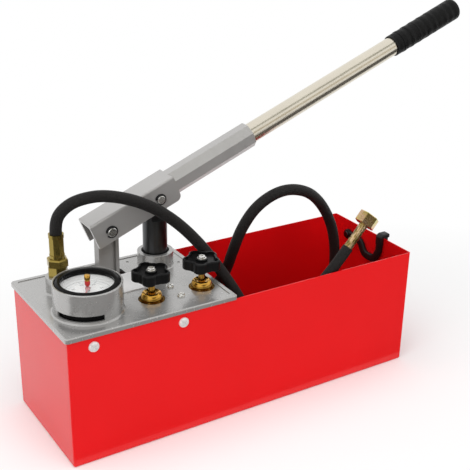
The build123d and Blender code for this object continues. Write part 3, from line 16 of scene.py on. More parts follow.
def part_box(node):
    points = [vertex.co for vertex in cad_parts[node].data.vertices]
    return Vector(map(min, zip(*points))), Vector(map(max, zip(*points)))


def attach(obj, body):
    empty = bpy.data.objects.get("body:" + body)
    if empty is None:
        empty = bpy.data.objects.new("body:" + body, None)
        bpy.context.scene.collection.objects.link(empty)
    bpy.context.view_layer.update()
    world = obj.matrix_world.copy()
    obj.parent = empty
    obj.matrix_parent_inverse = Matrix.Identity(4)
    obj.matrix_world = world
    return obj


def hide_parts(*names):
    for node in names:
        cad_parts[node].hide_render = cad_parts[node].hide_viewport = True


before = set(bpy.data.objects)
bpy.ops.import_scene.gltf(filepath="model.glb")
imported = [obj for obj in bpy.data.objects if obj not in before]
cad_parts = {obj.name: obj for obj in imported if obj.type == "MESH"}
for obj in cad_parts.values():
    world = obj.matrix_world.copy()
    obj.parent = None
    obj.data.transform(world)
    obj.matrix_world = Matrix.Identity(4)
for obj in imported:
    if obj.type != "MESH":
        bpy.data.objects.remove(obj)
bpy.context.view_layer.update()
MM = 0.001

# %% [markdown]
# ## Helpers for modelling by hand
# Blender's operators work on whatever is selected, so each piece starts with nothing selected.
# A finished piece keeps its place in its mesh, with the object itself at the origin, because
# patterns on Object coordinates then stay where they are. Every new piece goes through settle.

# %% Selection and settling
def start_clean():
    """Leaves edit mode and selects nothing."""
    if bpy.context.object and bpy.context.object.mode != "OBJECT":
        bpy.ops.object.mode_set(mode="OBJECT")
    bpy.ops.object.select_all(action="DESELECT")


def pick(piece):
    """Makes one object the selected and active one."""
    start_clean()
    piece.select_set(True)
    bpy.context.view_layer.objects.active = piece


def settle(piece, name, angle=35):
    """Moves the object's place into its mesh and smooths its round faces."""
    pick(piece)
    piece.name = name
    bpy.ops.object.transform_apply(location=True, rotation=True, scale=True)
    bpy.ops.object.shade_smooth_by_angle(angle=math.radians(angle))
    return piece


# %% [markdown]
# ## The camera
# The photograph was taken from the front left, a little above the cover. The tank's seven
# visible corners fix the camera: its place, its three directions, its focal length and the
# point where its axis meets the picture, which lies right of and below the middle. The
# directions become the columns of the camera's matrix, because angles would round them.

# %% Camera from the tank's corners
PICTURE = 470.0
SENSOR_WIDTH = 36.0
FAR_CLIP = 20.0
focal_pixels = 949.48
axis_pixel = (269.147, 251.194)
camera_place = Vector((-0.562617, -0.915402, 0.660635))
camera_right = Vector((0.83084374, -0.55549299, 0.03355905))
camera_down = Vector((-0.1996713, -0.35384774, -0.91374129))
camera_forward = Vector((0.51945168, 0.75247546, -0.40490819))

camera_data = bpy.data.cameras.new("camera")
camera = bpy.data.objects.new("camera", camera_data)
bpy.context.scene.collection.objects.link(camera)
camera_turn = Matrix((camera_right, -camera_down, -camera_forward)).transposed().to_4x4()
camera.matrix_world = Matrix.Translation(camera_place) @ camera_turn
camera_data.sensor_fit = "HORIZONTAL"
camera_data.sensor_width = SENSOR_WIDTH
camera_data.lens = focal_pixels / PICTURE * SENSOR_WIDTH
camera_data.shift_x = (PICTURE / 2 - axis_pixel[0]) / PICTURE
camera_data.shift_y = (axis_pixel[1] - PICTURE / 2) / PICTURE
camera_data.clip_end = FAR_CLIP
bpy.context.scene.camera = camera
print("lens", round(camera_data.lens, 2), "shift", camera_data.shift_x, camera_data.shift_y)

# %% [markdown]
# ## The hose
# The hose leaves the crimped ferrule straight up, arches over in front of the lever, dips into
# the tank, comes up in a second arch, dives again and ends with its fitting leaning on the front
# wall. The route's points are given in millimetres, the same as the solid tube's. Its
# two bends on the tank's floor can't be seen from outside.

# %% Hose route
HOSE_ROUTE_MM = [
    (-202, 32, 237),
    (-202, 32, 252),
    (-192, 30, 266),
    (-175, 26, 275),
    (-146, 18, 278),
    (-106, 6, 266),
    (-68, 0, 239),
    (-36, -7, 203),
    (-13, -17, 167),
    (3, -40, 132),
    (8, -67, 94),
    (10, -70, 49),
    (13, -29, 9),
    (17, 29, 9),
    (21, 70, 50),
    (27, 66, 98),
    (26, 35, 134),
    (21, 11, 174),
    (25, -2, 210),
    (43, -9, 240),
    (76, -14, 256),
    (113, -13, 248),
    (145, -3, 223),
    (171, 4, 186),
    (185, 10, 145),
    (190, 16, 98),
    (189, 16, 50),
    (152, 6, 9),
    (96, -10, 9),
    (60, -28, 48),
    (61, -51, 102),
    (103, -69, 139),
    (142, -69, 184),
]
print("hose route points", len(HOSE_ROUTE_MM))

# %% [markdown]
# A row of cylinders would show its joints in the tight bends. A NURBS curve with these control
# points gives one smooth line, so that is used. The bare line is also kept as a mesh of its own.

# %% Hose line
def curve_through(name, points, kind="POLY", dimensions="3D"):
    """A curve object through the points, with straight runs or as a NURBS line."""
    curve = bpy.data.curves.new(name, "CURVE")
    curve.dimensions = dimensions
    line = curve.splines.new(kind)
    line.points.add(len(points) - 1)
    for control, point in zip(line.points, points):
        control.co = (*point, 1.0)
    piece = bpy.data.objects.new(name, curve)
    bpy.context.scene.collection.objects.link(piece)
    return piece


def hose_curve(name, radius=0.0):
    """The hose's line as a smooth curve, with a round bevel where a radius is given."""
    piece = curve_through(name, hose_route, kind="NURBS")
    piece.data.splines[0].order_u = 3
    piece.data.splines[0].use_endpoint_u = True
    piece.data.resolution_u = 12
    piece.data.bevel_depth = radius
    piece.data.bevel_resolution = 8
    piece.data.use_fill_caps = True
    return piece


ferrule_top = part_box("hose_ferrule_outlet")[1].z
hose_route = [Vector(point) * MM for point in HOSE_ROUTE_MM]
hose_route[0].z = ferrule_top
hose_line = hose_curve("hose_line")
line_mesh = bpy.data.meshes.new_from_object(hose_line)
bpy.data.objects.remove(hose_line)

# %% [markdown]
# The same line with a round bevel is the hose itself. It is turned into a mesh, because a
# curve's box follows its control points, which lie well outside the line, and the pump would
# seem larger than it is.

# %% Hose tube
HOSE_RADIUS = 7.0 * MM

pick(hose_curve("test_hose", HOSE_RADIUS))
bpy.ops.object.convert(target="MESH")
test_hose = settle(bpy.context.object, "test_hose", angle=60)
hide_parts("hose")
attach(test_hose, "body")
print("hose faces", len(test_hose.data.polygons))

# %% [markdown]
# ## A lathe
# The valve glands, the gauge's bezel and its small knob are turned from bar on the real pump. In
# Blender the spin operator does the same job: one vertex is pushed along the outline, and the
# outline is spun round the upright line. A screw modifier would do it too, but the operator
# leaves real faces at once, which a join can work on.

# %% Outline and lathe
MERGE_GAP = 0.002 * MM


def outlined(corners):
    """Starts a piece as a line of edges through the corners, and stays in edit mode."""
    start_clean()
    bpy.ops.mesh.primitive_plane_add(size=MM, location=(0, 0, 0))
    bpy.ops.object.mode_set(mode="EDIT")
    bpy.ops.mesh.select_all(action="SELECT")
    bpy.ops.mesh.merge(type="CENTER")
    bpy.ops.transform.translate(value=corners[0])
    for here, there in zip(corners, corners[1:]):
        bpy.ops.mesh.extrude_region_move(TRANSFORM_OT_translate={"value": there - here})
    bpy.ops.mesh.select_all(action="SELECT")
    return bpy.context.object


def merge_doubles():
    """Merges the points that lie on each other, in edit mode."""
    bpy.ops.mesh.select_all(action="SELECT")
    bpy.ops.mesh.remove_doubles(threshold=MERGE_GAP)


def face_outwards():
    """Turns every face outwards and leaves edit mode."""
    bpy.ops.mesh.normals_make_consistent(inside=False)
    bpy.ops.object.mode_set(mode="OBJECT")


def turned(name, outline, centre=(0, 0, 0), steps=72, ring=False, rotation=(0, 0, 0)):
    """Spins an outline of (radius, height) pairs, in millimetres, round an upright line.

    A ring's outline comes back to its first point. Any other one starts and ends on the axis.
    """
    corners = [Vector((radius, 0, height)) * MM for radius, height in outline]
    if ring:
        corners.append(corners[0])
    piece = outlined(corners)
    bpy.ops.mesh.spin(steps=steps, angle=2 * math.pi, center=(0, 0, 0), axis=(0, 0, 1))
    merge_doubles()
    face_outwards()
    piece.rotation_euler = rotation
    piece.location = centre
    return settle(piece, name)


# %% [markdown]
# ## The valve glands
# Each spindle comes up through a brass gland: a hexagon screwed into the manifold, with a round
# drum on top whose edge is turned to a soft shoulder and whose face is dished round the spindle.
# The solid model has a plain taper there. All parts come off the lathe: a spin of six steps
# gives the hexagon, and one of many steps gives the drum and the stem.

# %% Gland hexagon, drum and stem
HEXAGON_TURN = (0, 0, math.radians(48))
HEXAGON_OUTLINE = [(4.9, 160.05), (13.05, 160.05), (13.05, 163.9), (12.2, 165.0), (4.9, 165.0)]
STEM_OUTLINE = [(4.3, 149), (9.0, 149), (9.0, 160.6), (4.3, 160.6)]
DRUM_OUTLINE = [
    (4.3, 164.6), (11.9, 164.6), (12.3, 165.8), (12.4, 167.6), (12.2, 169.6), (11.6, 171.4),
    (10.8, 172.8), (9.9, 173.6), (9.0, 173.9), (8.2, 173.6), (7.3, 172.7), (6.4, 172.2),
    (4.3, 172.0),
]


def middle(node):
    """The middle of a solid piece's box, seen from above."""
    low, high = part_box(node)
    return Vector(((low.x + high.x) / 2, (low.y + high.y) / 2, 0))


def join(pieces, name):
    """Joins several objects into the first one."""
    start_clean()
    for piece in pieces:
        piece.select_set(True)
    bpy.context.view_layer.objects.active = pieces[0]
    bpy.ops.object.join()
    pieces[0].name = name
    return pieces[0]


glands = []
for valve in ("shutoff", "relief"):
    centre = middle(valve + "_spindle")
    gland = join([
        turned("drum", DRUM_OUTLINE, centre, ring=True),
        turned("flats", HEXAGON_OUTLINE, centre, steps=6, ring=True, rotation=HEXAGON_TURN),
        turned("stem", STEM_OUTLINE, centre, ring=True),
    ], valve + "_gland")
    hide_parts(valve + "_bonnet")
    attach(gland, "body")
    glands.append(gland)
    print(gland.name, "faces", len(gland.data.polygons))

# %% [markdown]
# ## The gauge's bezel
# The bezel is a broad black ring that rolls over the pane and nearly fills the cup. Its lip is
# wider than the solid model's, so it is turned again here. A white ring keeps the pane off the
# dial, which is why the white reaches right up to the bezel at the back. A bevel on the solid
# ring would round both edges alike, but the real lip rises slowly and drops steeply to the pane.

# %% Bezel and white ring
BEZEL_STEPS = 96
BEZEL_OUTLINE = [
    (34.9, 189.0), (36.7, 189.0), (36.7, 198.0), (36.4, 199.0), (35.4, 199.9), (33.4, 200.6),
    (31.4, 200.9), (30.2, 200.6), (29.6, 199.8), (29.5, 198.0), (29.9, 195.2), (33.6, 194.3),
    (34.9, 194.2),
]
SPACER_OUTLINE = [(32.4, 187.4), (33.5, 187.4), (33.5, 192.2), (32.9, 192.2)]

gauge_centre = middle("gauge_bezel")
bezel_ring = turned("bezel_ring", BEZEL_OUTLINE, gauge_centre, steps=BEZEL_STEPS, ring=True)
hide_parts("gauge_bezel")
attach(bezel_ring, "body")

spacer = turned("dial_spacer", SPACER_OUTLINE, gauge_centre, steps=BEZEL_STEPS, ring=True)
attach(spacer, "body")
print("bezel faces", len(bezel_ring.data.polygons), "spacer faces", len(spacer.data.polygons))

# %% [markdown]
# ## The set pointer's knob
# A finger turns the red set pointer by a small brass knob over the pane. The knob has a waist
# where it leaves its red collar, and both turn with the pointer, so they ride on its body. Both
# are round, and a closed outline that starts and ends on the axis leaves no hole in them.

# %% Collar and knob
COLLAR_OUTLINE = [(0, 195.4), (2.9, 195.4), (3.1, 196.0), (3.1, 199.6), (2.6, 200.2), (0, 200.2)]
KNOB_OUTLINE = [
    (0, 200.1), (2.3, 200.1), (2.4, 201.0), (3.3, 201.6), (3.4, 206.6), (2.9, 207.4), (0, 207.6),
]

pointer_collar = turned("pointer_collar", COLLAR_OUTLINE, gauge_centre, steps=32)
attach(pointer_collar, "marker")

pointer_grip = turned("pointer_grip", KNOB_OUTLINE, gauge_centre, steps=40)
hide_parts("set_pointer_knob")
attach(pointer_grip, "marker")
print("knob faces", len(pointer_grip.data.polygons))

# %% [markdown]
# ## The printed dial
# A dial is a painted disc with rings, ticks and plain numbers. On a real gauge they are ink. An
# image would blur at close range, so each mark is a very thin piece of its own just above the
# disc. The numbers are text turned into mesh, and run clockwise over 270 degrees.

# %% Kinds of marks on the dial
DIAL_SWEEP_DEG = 270.0
DIAL_FIRST_DEG = 225.0
INK_LOW, INK_HIGH = 187.34, 187.40
NUMBER_RADIUS = 17.2
NUMBER_SIZE = 4.8


def dial_spot(share, radius):
    """A place on the dial: how far along the reading, and how far from the middle, in mm."""
    angle = math.radians(DIAL_FIRST_DEG - DIAL_SWEEP_DEG * share)
    across = Vector((math.cos(angle), math.sin(angle), 0)) * radius
    return gauge_centre + (across + Vector((0, 0, (INK_LOW + INK_HIGH) / 2))) * MM, angle


def ink_ring(inner, outer):
    """A thin printed ring."""
    outline = [(inner, INK_LOW), (outer, INK_LOW), (outer, INK_HIGH), (inner, INK_HIGH)]
    return turned("ink_ring", outline, gauge_centre, steps=BEZEL_STEPS, ring=True)


def tick(share, inner, outer, width):
    """One mark across the ring."""
    spot, angle = dial_spot(share, (inner + outer) / 2)
    start_clean()
    bpy.ops.mesh.primitive_cube_add(size=1.0, location=spot, rotation=(0, 0, angle))
    mark = bpy.context.object
    mark.scale = ((outer - inner) * MM, width * MM, (INK_HIGH - INK_LOW) * MM)
    return settle(mark, "tick")


def number(share, value):
    """One plain number, upright towards the back of the pump."""
    spot, _ = dial_spot(share, NUMBER_RADIUS)
    start_clean()
    bpy.ops.object.text_add(location=spot)
    text = bpy.context.object
    text.data.body = str(value)
    text.data.size = NUMBER_SIZE * MM
    text.data.extrude = (INK_HIGH - INK_LOW) / 2 * MM
    text.data.align_x = "CENTER"
    text.data.align_y = "CENTER"
    bpy.ops.object.convert(target="MESH")
    return settle(bpy.context.object, "number")


# %% [markdown]
# The reading runs to 60, with a number at each ten, a longer tick at each five and a short one
# at each step between. All marks are joined, because one piece of ink is easier to handle than
# seventy, and nobody moves one alone.

# %% Dial rings, ticks and numbers
DIAL_LAST_NUMBER = 60
NUMBER_STEP, LONG_STEP = 10, 5
OUTER_RING, INNER_RING = (26.6, 26.9), (21.6, 21.8)
TICK_OUTER = 26.7
NUMBER_TICK_INNER, LONG_TICK_INNER, SHORT_TICK_INNER = 21.7, 24.0, 25.2
BROAD_TICK, FINE_TICK = 0.5, 0.2

marks = [ink_ring(*OUTER_RING), ink_ring(*INNER_RING)]
for count in range(DIAL_LAST_NUMBER + 1):
    share = count / DIAL_LAST_NUMBER
    if count % NUMBER_STEP == 0:
        marks.append(tick(share, NUMBER_TICK_INNER, TICK_OUTER, BROAD_TICK))
        marks.append(number(share, count))
    elif count % LONG_STEP == 0:
        marks.append(tick(share, LONG_TICK_INNER, TICK_OUTER, FINE_TICK))
    else:
        marks.append(tick(share, SHORT_TICK_INNER, TICK_OUTER, FINE_TICK))
mark_count = len(marks)
dial_print = join(marks, "dial_print")
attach(dial_print, "body")
print("dial marks", mark_count, "faces", len(dial_print.data.polygons))

# %% [markdown]
# ## The label
# A white label is stuck on the cover beside the front valve. It carries nothing here. A colour
# on the casting would do from afar, but a sheet with a real thickness throws the shadow of an
# edge. One thing is still wrong here. The bevel should round the four upright edges alone, but
# a new cube is selected all over, so it takes all twelve and is wider than the sheet is thick:
# the rim's faces cross, and it stands 1 mm over the plate.

# %% Blank label
LABEL_LEFT, LABEL_RIGHT = -148.0 * MM, -98.0 * MM
LABEL_FRONT, LABEL_BACK = -10.3 * MM, 35.1 * MM
PLATE_TOP = 164.7 * MM
LABEL_THICKNESS = 0.2 * MM
LABEL_CORNER = 1.2 * MM

label_middle = (
    (LABEL_LEFT + LABEL_RIGHT) / 2,
    (LABEL_FRONT + LABEL_BACK) / 2,
    PLATE_TOP + LABEL_THICKNESS / 2,
)
start_clean()
bpy.ops.mesh.primitive_cube_add(size=1.0, location=label_middle)
label = bpy.context.object
label.scale = (LABEL_RIGHT - LABEL_LEFT, LABEL_BACK - LABEL_FRONT, LABEL_THICKNESS)
settle(label, "blank_label")
bpy.ops.object.mode_set(mode="EDIT")
bpy.ops.mesh.bevel(offset=LABEL_CORNER, segments=5, affect="EDGES")
bpy.ops.object.mode_set(mode="OBJECT")
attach(label, "body")
print("label faces", len(label.data.polygons))

# %% [markdown]
# ## The rubber strap
# A moulded strap hangs inside the end wall, dips in the middle and hooks over the rim, most
# likely to hold the lever down when the pump is carried. The solid model shows it as a flat
# form. Rubber has round edges, so a rounded section is drawn along the strap's middle line. A
# box with a bevel modifier would pinch in the corners, so each of them is an arc of the line.

# %% Line with round corners
def arc_route(corners, radius, steps=8):
    """The points of a line whose inner corners are rounded by an arc."""
    route = [corners[0]]
    for before, corner, after in zip(corners, corners[1:], corners[2:]):
        back, onward = (before - corner).normalized(), (after - corner).normalized()
        half = math.acos(max(-1.0, min(1.0, back.dot(onward)))) / 2
        run = radius / math.tan(half)
        first, last = corner + back * run, corner + onward * run
        hub = corner + (back + onward).normalized() * (radius / math.sin(half))
        for step in range(steps + 1):
            side = first.lerp(last, step / steps) - hub
            route.append(hub + side.normalized() * radius)
    return route + [corners[-1]]


# %% [markdown]
# A curve takes another curve as its bevel. The section is a flat oblong with round corners, and
# is thrown away once the drawn strap is a mesh, so that nothing of it is left in the scene.

# %% Rounded section drawn along a line
CORNER_STEPS = 4


def oblong(width, thickness, rounding):
    """A flat oblong curve with round corners, as the section of a strap."""
    outline = []
    for corner, (side, up) in enumerate([(1, 1), (-1, 1), (-1, -1), (1, -1)]):
        for step in range(CORNER_STEPS + 1):
            angle = math.pi / 2 * (corner + step / CORNER_STEPS)
            outline.append((
                side * (width / 2 - rounding) + rounding * math.cos(angle),
                up * (thickness / 2 - rounding) + rounding * math.sin(angle),
                0,
            ))
    section = curve_through("section", outline, dimensions="2D")
    section.data.splines[0].use_cyclic_u = True
    return section


def drawn(name, route, width, thickness, rounding):
    """A rounded oblong section drawn along a route, as a closed mesh."""
    section = oblong(width, thickness, rounding)
    line = curve_through(name, route)
    line.data.twist_mode = "MINIMUM"
    line.data.bevel_mode = "OBJECT"
    line.data.bevel_object = section
    line.data.use_fill_caps = True
    pick(line)
    bpy.ops.object.convert(target="MESH")
    bpy.data.objects.remove(section)
    bpy.ops.object.mode_set(mode="EDIT")
    merge_doubles()
    face_outwards()
    return settle(bpy.context.object, name, angle=40)


# %% [markdown]
# The strap's line is read from the solid one: it leaves the rivet level, dips by 16 mm and comes
# up to the rim, where a wider tongue folds outward over the edge and ends in a lip. Its eye is a
# turned ring round the rivet. The parts overlap and are joined, as they are one moulding.

# %% Strap, tongue, lip and eye
STRAP_X = 235.9
RIVET_Y, RIVET_Z = 46, 141
STRAP_DIP = 16
HOOK_Y = -22
RIBBON_THICKNESS, RIBBON_WIDTH, RIBBON_ROUND, RIBBON_BEND = 5.6, 11, 2.2, 12
TONGUE_THICKNESS, TONGUE_WIDTH, TONGUE_ROUND, TONGUE_BEND = 5.4, 12, 1.5, 3.4
LIP_THICKNESS, LIP_ROUND = 3.8, 1.2
EYE_INNER, EYE_OUTER, EYE_THICKNESS, EYE_ROUND = 3.6, 7.0, 4.9, 0.7
EYE_TURN = (0, math.pi / 2, 0)

ribbon_corners = [
    (STRAP_X, RIVET_Y, RIVET_Z),
    (STRAP_X, 18, RIVET_Z),
    (STRAP_X, 8, RIVET_Z - STRAP_DIP),
    (STRAP_X, -14, RIVET_Z - STRAP_DIP),
    (STRAP_X, HOOK_Y, RIVET_Z),
    (STRAP_X, HOOK_Y, 161),
]
tongue_corners = [(STRAP_X, HOOK_Y, 150), (STRAP_X, HOOK_Y, 162.9), (247.6, HOOK_Y, 162.9)]
lip_ends = [(244, HOOK_Y, 162), (244, HOOK_Y, 154.3)]
eye_outline = [
    (EYE_INNER, 0), (EYE_OUTER - EYE_ROUND, 0), (EYE_OUTER, EYE_ROUND),
    (EYE_OUTER, EYE_THICKNESS - EYE_ROUND), (EYE_OUTER - EYE_ROUND, EYE_THICKNESS),
    (EYE_INNER, EYE_THICKNESS),
]

ribbon_line = arc_route([Vector(spot) * MM for spot in ribbon_corners], RIBBON_BEND * MM)
tongue_line = arc_route([Vector(spot) * MM for spot in tongue_corners], TONGUE_BEND * MM)
lip_line = [Vector(spot) * MM for spot in lip_ends]
eye_place = Vector((STRAP_X - EYE_THICKNESS / 2, RIVET_Y, RIVET_Z)) * MM
strap = join([
    drawn("ribbon", ribbon_line, RIBBON_THICKNESS * MM, RIBBON_WIDTH * MM, RIBBON_ROUND * MM),
    drawn("tongue", tongue_line, TONGUE_THICKNESS * MM, TONGUE_WIDTH * MM, TONGUE_ROUND * MM),
    drawn("lip", lip_line, LIP_THICKNESS * MM, TONGUE_WIDTH * MM, LIP_ROUND * MM),
    turned("eye", eye_outline, eye_place, steps=48, ring=True, rotation=EYE_TURN),
], "rubber_strap")
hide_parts("lever_strap")
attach(strap, "body")
for axis in range(3):
    reach = [vertex.co[axis] / MM for vertex in strap.data.vertices]
    print("strap", "xyz"[axis], round(min(reach), 2), "to", round(max(reach), 2))

# %% [markdown]
# ## The thread inside the swivel nut
# A thread is a ridge that climbs by one pitch with each turn. The screw modifier makes exactly
# that from a three-cornered section, and is applied so that real faces are left. The nut's axis
# carries on the hose's last run. The ridge lines the nut's bore from the mouth inwards and turns
# with the nut.

# %% Thread ridge
NUT_START, NUT_LENGTH = 34.8, 15.0
NUT_BORE_RADIUS = 9.32
THREAD_PITCH = 1.814
THREAD_TURNS = 4
THREAD_STEPS = 40
THREAD_DEPTH = 0.4
THREAD_ROOT = 0.1
RIDGE_WIDTH = 1.1
THREAD_LEAD_IN = 1.5

nut_axis = (hose_route[-1] - hose_route[-2]).normalized()
nut_mouth = hose_route[-1] + nut_axis * (NUT_START + NUT_LENGTH) * MM
ridge_corners = [
    Vector((NUT_BORE_RADIUS + THREAD_ROOT, 0, 0)) * MM,
    Vector((NUT_BORE_RADIUS - THREAD_DEPTH, 0, RIDGE_WIDTH / 2)) * MM,
    Vector((NUT_BORE_RADIUS + THREAD_ROOT, 0, RIDGE_WIDTH)) * MM,
]
ridge = outlined(ridge_corners + ridge_corners[:1])
merge_doubles()
bpy.ops.object.mode_set(mode="OBJECT")
climb = ridge.modifiers.new("climb", "SCREW")
climb.axis = "Z"
climb.angle = 2 * math.pi
climb.screw_offset = THREAD_PITCH * MM
climb.iterations = THREAD_TURNS
climb.steps = climb.render_steps = THREAD_STEPS
bpy.ops.object.modifier_apply(modifier="climb")
bpy.ops.object.mode_set(mode="EDIT")
merge_doubles()
bpy.ops.mesh.fill_holes(sides=3)
face_outwards()

thread_start = nut_mouth - nut_axis * (THREAD_TURNS * THREAD_PITCH + THREAD_LEAD_IN) * MM
lean = Vector((0, 0, 1)).rotation_difference(nut_axis).to_matrix().to_4x4()
ridge.matrix_world = Matrix.Translation(thread_start) @ lean
settle(ridge, "nut_thread", angle=25)
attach(ridge, "coupling_nut")
print("thread faces", len(ridge.data.polygons))

# %% [markdown]
# ## Shader sums as Python sums
# A finish is a small calculation over the surface. Written as nodes it is hard to read, so a
# small class wraps a socket: adding or multiplying two of them adds the Math node for it.

# %% A socket that can be added and multiplied
class Value:
    """One output of a node, usable in sums."""

    def __init__(self, nodes, socket):
        self.nodes = nodes
        self.socket = socket

    def _sum(self, operation, other):
        return self.nodes.add("Math", {"operation": operation}, {0: self, 1: other})

    def __add__(self, other):
        return self._sum("ADD", other)

    def __mul__(self, other):
        return self._sum("MULTIPLY", other)

    __radd__ = __add__
    __rmul__ = __mul__


def color(red, green, blue):
    """A colour as Blender's sockets take it, with full cover."""
    return (red, green, blue, 1.0)


# %% [markdown]
# Every other node comes from one method, which sets a node's options first and then its values
# or links, because some sockets are only there once an option is set. Materials and the world
# share it, so it stands in a class of its own.

# %% A tree of nodes
class Nodes:
    """A node tree whose nodes are added one by one, each with its settings and inputs."""

    def __init__(self, tree, output):
        self.tree = tree
        self.surface = tree.nodes[output].inputs["Surface"]

    def add(self, kind, settings=None, inputs=None, output=0):
        """Adds a node: its settings first, then the values or links of its sockets."""
        node = self.tree.nodes.new("ShaderNode" + kind)
        for name, value in (settings or {}).items():
            if name == "stops":
                ramp = node.color_ramp.elements
                while len(ramp) < len(value):
                    ramp.new(1.0)
                for element, (place, tone) in zip(ramp, value):
                    element.position = place
                    element.color = color(*tone)
            else:
                setattr(node, name, value)
        for name, value in (inputs or {}).items():
            self.feed(node.inputs[name], value)
        return Value(self, node.outputs[output])

    def feed(self, socket, value):
        """Links a value to a socket, or types a plain number or colour into it."""
        if isinstance(value, Value):
            self.tree.links.new(value.socket, socket)
        else:
            socket.default_value = value

    def spread(self, value, low, high, start=0.0, end=1.0):
        """Maps a value between low and high onto the range from start to end, clamped."""
        return self.add(
            "MapRange", {"clamp": True},
            {"Value": value, "From Min": low, "From Max": high, "To Min": start, "To Max": end},
        )

    def seen_directly(self):
        """1 for camera, glossy and clear rays, and 0 for the soft light that falls on things."""
        camera_ray = self.add("LightPath", output="Is Camera Ray")
        glossy_ray = self.add("LightPath", output="Is Glossy Ray")
        clear_ray = self.add("LightPath", output="Is Transmission Ray")
        return self.spread(camera_ray + glossy_ray + clear_ray, 0.0, 1.0)

    def show(self, amount, under, over):
        """Shows one shader over another, by that amount, as the tree's result."""
        mixed = self.add("MixShader", None, {0: amount, 1: under, 2: over})
        self.tree.links.new(mixed.socket, self.surface)


# %% [markdown]
# A paint is such a tree for one material. Its patterns lie on Object coordinates, in metres from
# the pump's own origin, so a pattern has its true size and stays put when a piece is moved.

# %% A material with its patterns
MICRON = 0.001 * MM
NOISE_LOW, NOISE_HIGH = 0.3, 0.7


class Paint(Nodes):
    """A material round Blender's own surface shader."""

    def __init__(self, name, **constants):
        self.material = bpy.data.materials.new(name)
        self.material.use_nodes = True
        super().__init__(self.material.node_tree, "Material Output")
        self.shader = self.tree.nodes["Principled BSDF"]
        self.set(**constants)

    @property
    def shading(self):
        """The shader itself, for a mix of shaders."""
        return Value(self, self.shader.outputs[0])

    def set(self, **sockets):
        """Feeds the shader's own sockets and gives the material back."""
        for name, value in sockets.items():
            self.feed(self.shader.inputs[name.replace("_", " ")], value)
        return self.material

    def place(self, stretch=(1, 1, 1), turn=(0, 0, 0)):
        """The point on the piece, in metres, turned and stretched."""
        point = self.add("TexCoord", output="Object")
        size = tuple(1 / share for share in stretch)
        return self.add(
            "Mapping", {"vector_type": "TEXTURE"},
            {"Vector": point, "Rotation": turn, "Scale": size},
        )

    def noise(self, where, scale, detail=3, roughness=0.55):
        """Cloudy noise. The scale is how many clouds lie along a metre."""
        return self.add(
            "TexNoise", {"noise_dimensions": "3D"},
            {"Vector": where, "Scale": scale, "Detail": detail, "Roughness": roughness},
        )

    def blend(self, amount, low, high):
        """A colour that goes from low to high. Sockets 6 and 7 are the mix's two colours."""
        return self.add(
            "Mix", {"data_type": "RGBA"}, {0: amount, 6: color(*low), 7: color(*high)}, output=2
        )

    def rough(self, marks, smoothest, roughest):
        """A roughness that follows a noise, whose values lie mostly in its middle range."""
        return self.spread(marks, NOISE_LOW, NOISE_HIGH, smoothest, roughest)

    def dents(self, height, depth, strength=1.0, below=None):
        """A bump with its true depth in microns. Another bump can lie below it."""
        inputs = {"Height": height, "Distance": depth * MICRON, "Strength": strength}
        if below is not None:
            inputs["Normal"] = below
        return self.add("Bump", None, inputs)


def dimmed(tone, share):
    """The same colour, darker or lighter by a share."""
    return tuple(min(1.0, part * share) for part in tone)


# %% [markdown]
# ## Red enamel
# The tank is sheet steel under thick gloss enamel. Sprayed enamel dries with a faint orange peel,
# and the sheet below it is never quite flat, so its mirror image bends. Both are bumps here, a
# fine one over a broad one. Bending the sheet itself would ask for thousands of faces.

# %% Enamel
def red_enamel():
    """Thick gloss enamel on sheet steel, with a faint orange-peel surface."""
    paint = Paint("red_enamel", Roughness=0.20, IOR=1.5, Specular_IOR_Level=0.42)
    point = paint.place()
    drift = paint.noise(point, 9.0, detail=2)
    peel = paint.noise(point, 420.0, detail=2)
    waves = paint.noise(point, 14.0, detail=1)
    shade = paint.blend(drift, (0.72, 0.0045, 0.006), (0.80, 0.006, 0.009))
    flat = paint.dents(waves, 1100, strength=0.35)
    return paint.set(Base_Color=shade, Normal=paint.dents(peel, 60, below=flat))


finishes = {"enamel": red_enamel()}
print("finishes so far", list(finishes))

# %% [markdown]
# ## Silver castings
# The cover, the lever's head and the link are die castings under silver paint. Such paint is
# metal flake in a clear coat: the flake gives a soft sheen, and the coat a sharp one. A plain
# metal would be far too bright, and a plain grey would look like plastic.

# %% Castings
def silver_casting(name, tone, roughness, skin_depth=50):
    """Silver paint over a die casting: fine metal flake on a slightly uneven skin."""
    paint = Paint(name, Metallic=0.60, IOR=1.5, Coat_Weight=0.30, Coat_Roughness=0.06)
    point = paint.place()
    flake = paint.noise(point, 2600.0, detail=1)
    skin = paint.noise(point, 180.0, detail=3)
    cloud = paint.noise(point, 22.0, detail=3)
    shade = paint.blend(cloud * 0.7 + flake * 0.3, dimmed(tone, 0.92), dimmed(tone, 1.05))
    rough = paint.rough(skin, roughness - 0.04, roughness + 0.05)
    return paint.set(Base_Color=shade, Roughness=rough, Normal=paint.dents(skin, skin_depth))


finishes["cover"] = silver_casting("silver_cover", (0.45, 0.445, 0.435), 0.24)
finishes["lever"] = silver_casting("silver_lever", (0.47, 0.46, 0.45), 0.32, skin_depth=140)
# The link has the same paint, but its tone is set darker: that is painted shade, as the link
# stands under the lever's head.
finishes["link"] = silver_casting("silver_link_painted_shade", (0.30, 0.29, 0.28), 0.34, skin_depth=140)
print("finishes so far", list(finishes))

# %% [markdown]
# ## Black mouldings
# The knobs, the strap, the seals and the bezel are black. What tells them apart is not colour but
# shine and grain, so one function makes them all, and each has its own size of grain. Pure black
# would show no form, so the darkest tone is still above zero.

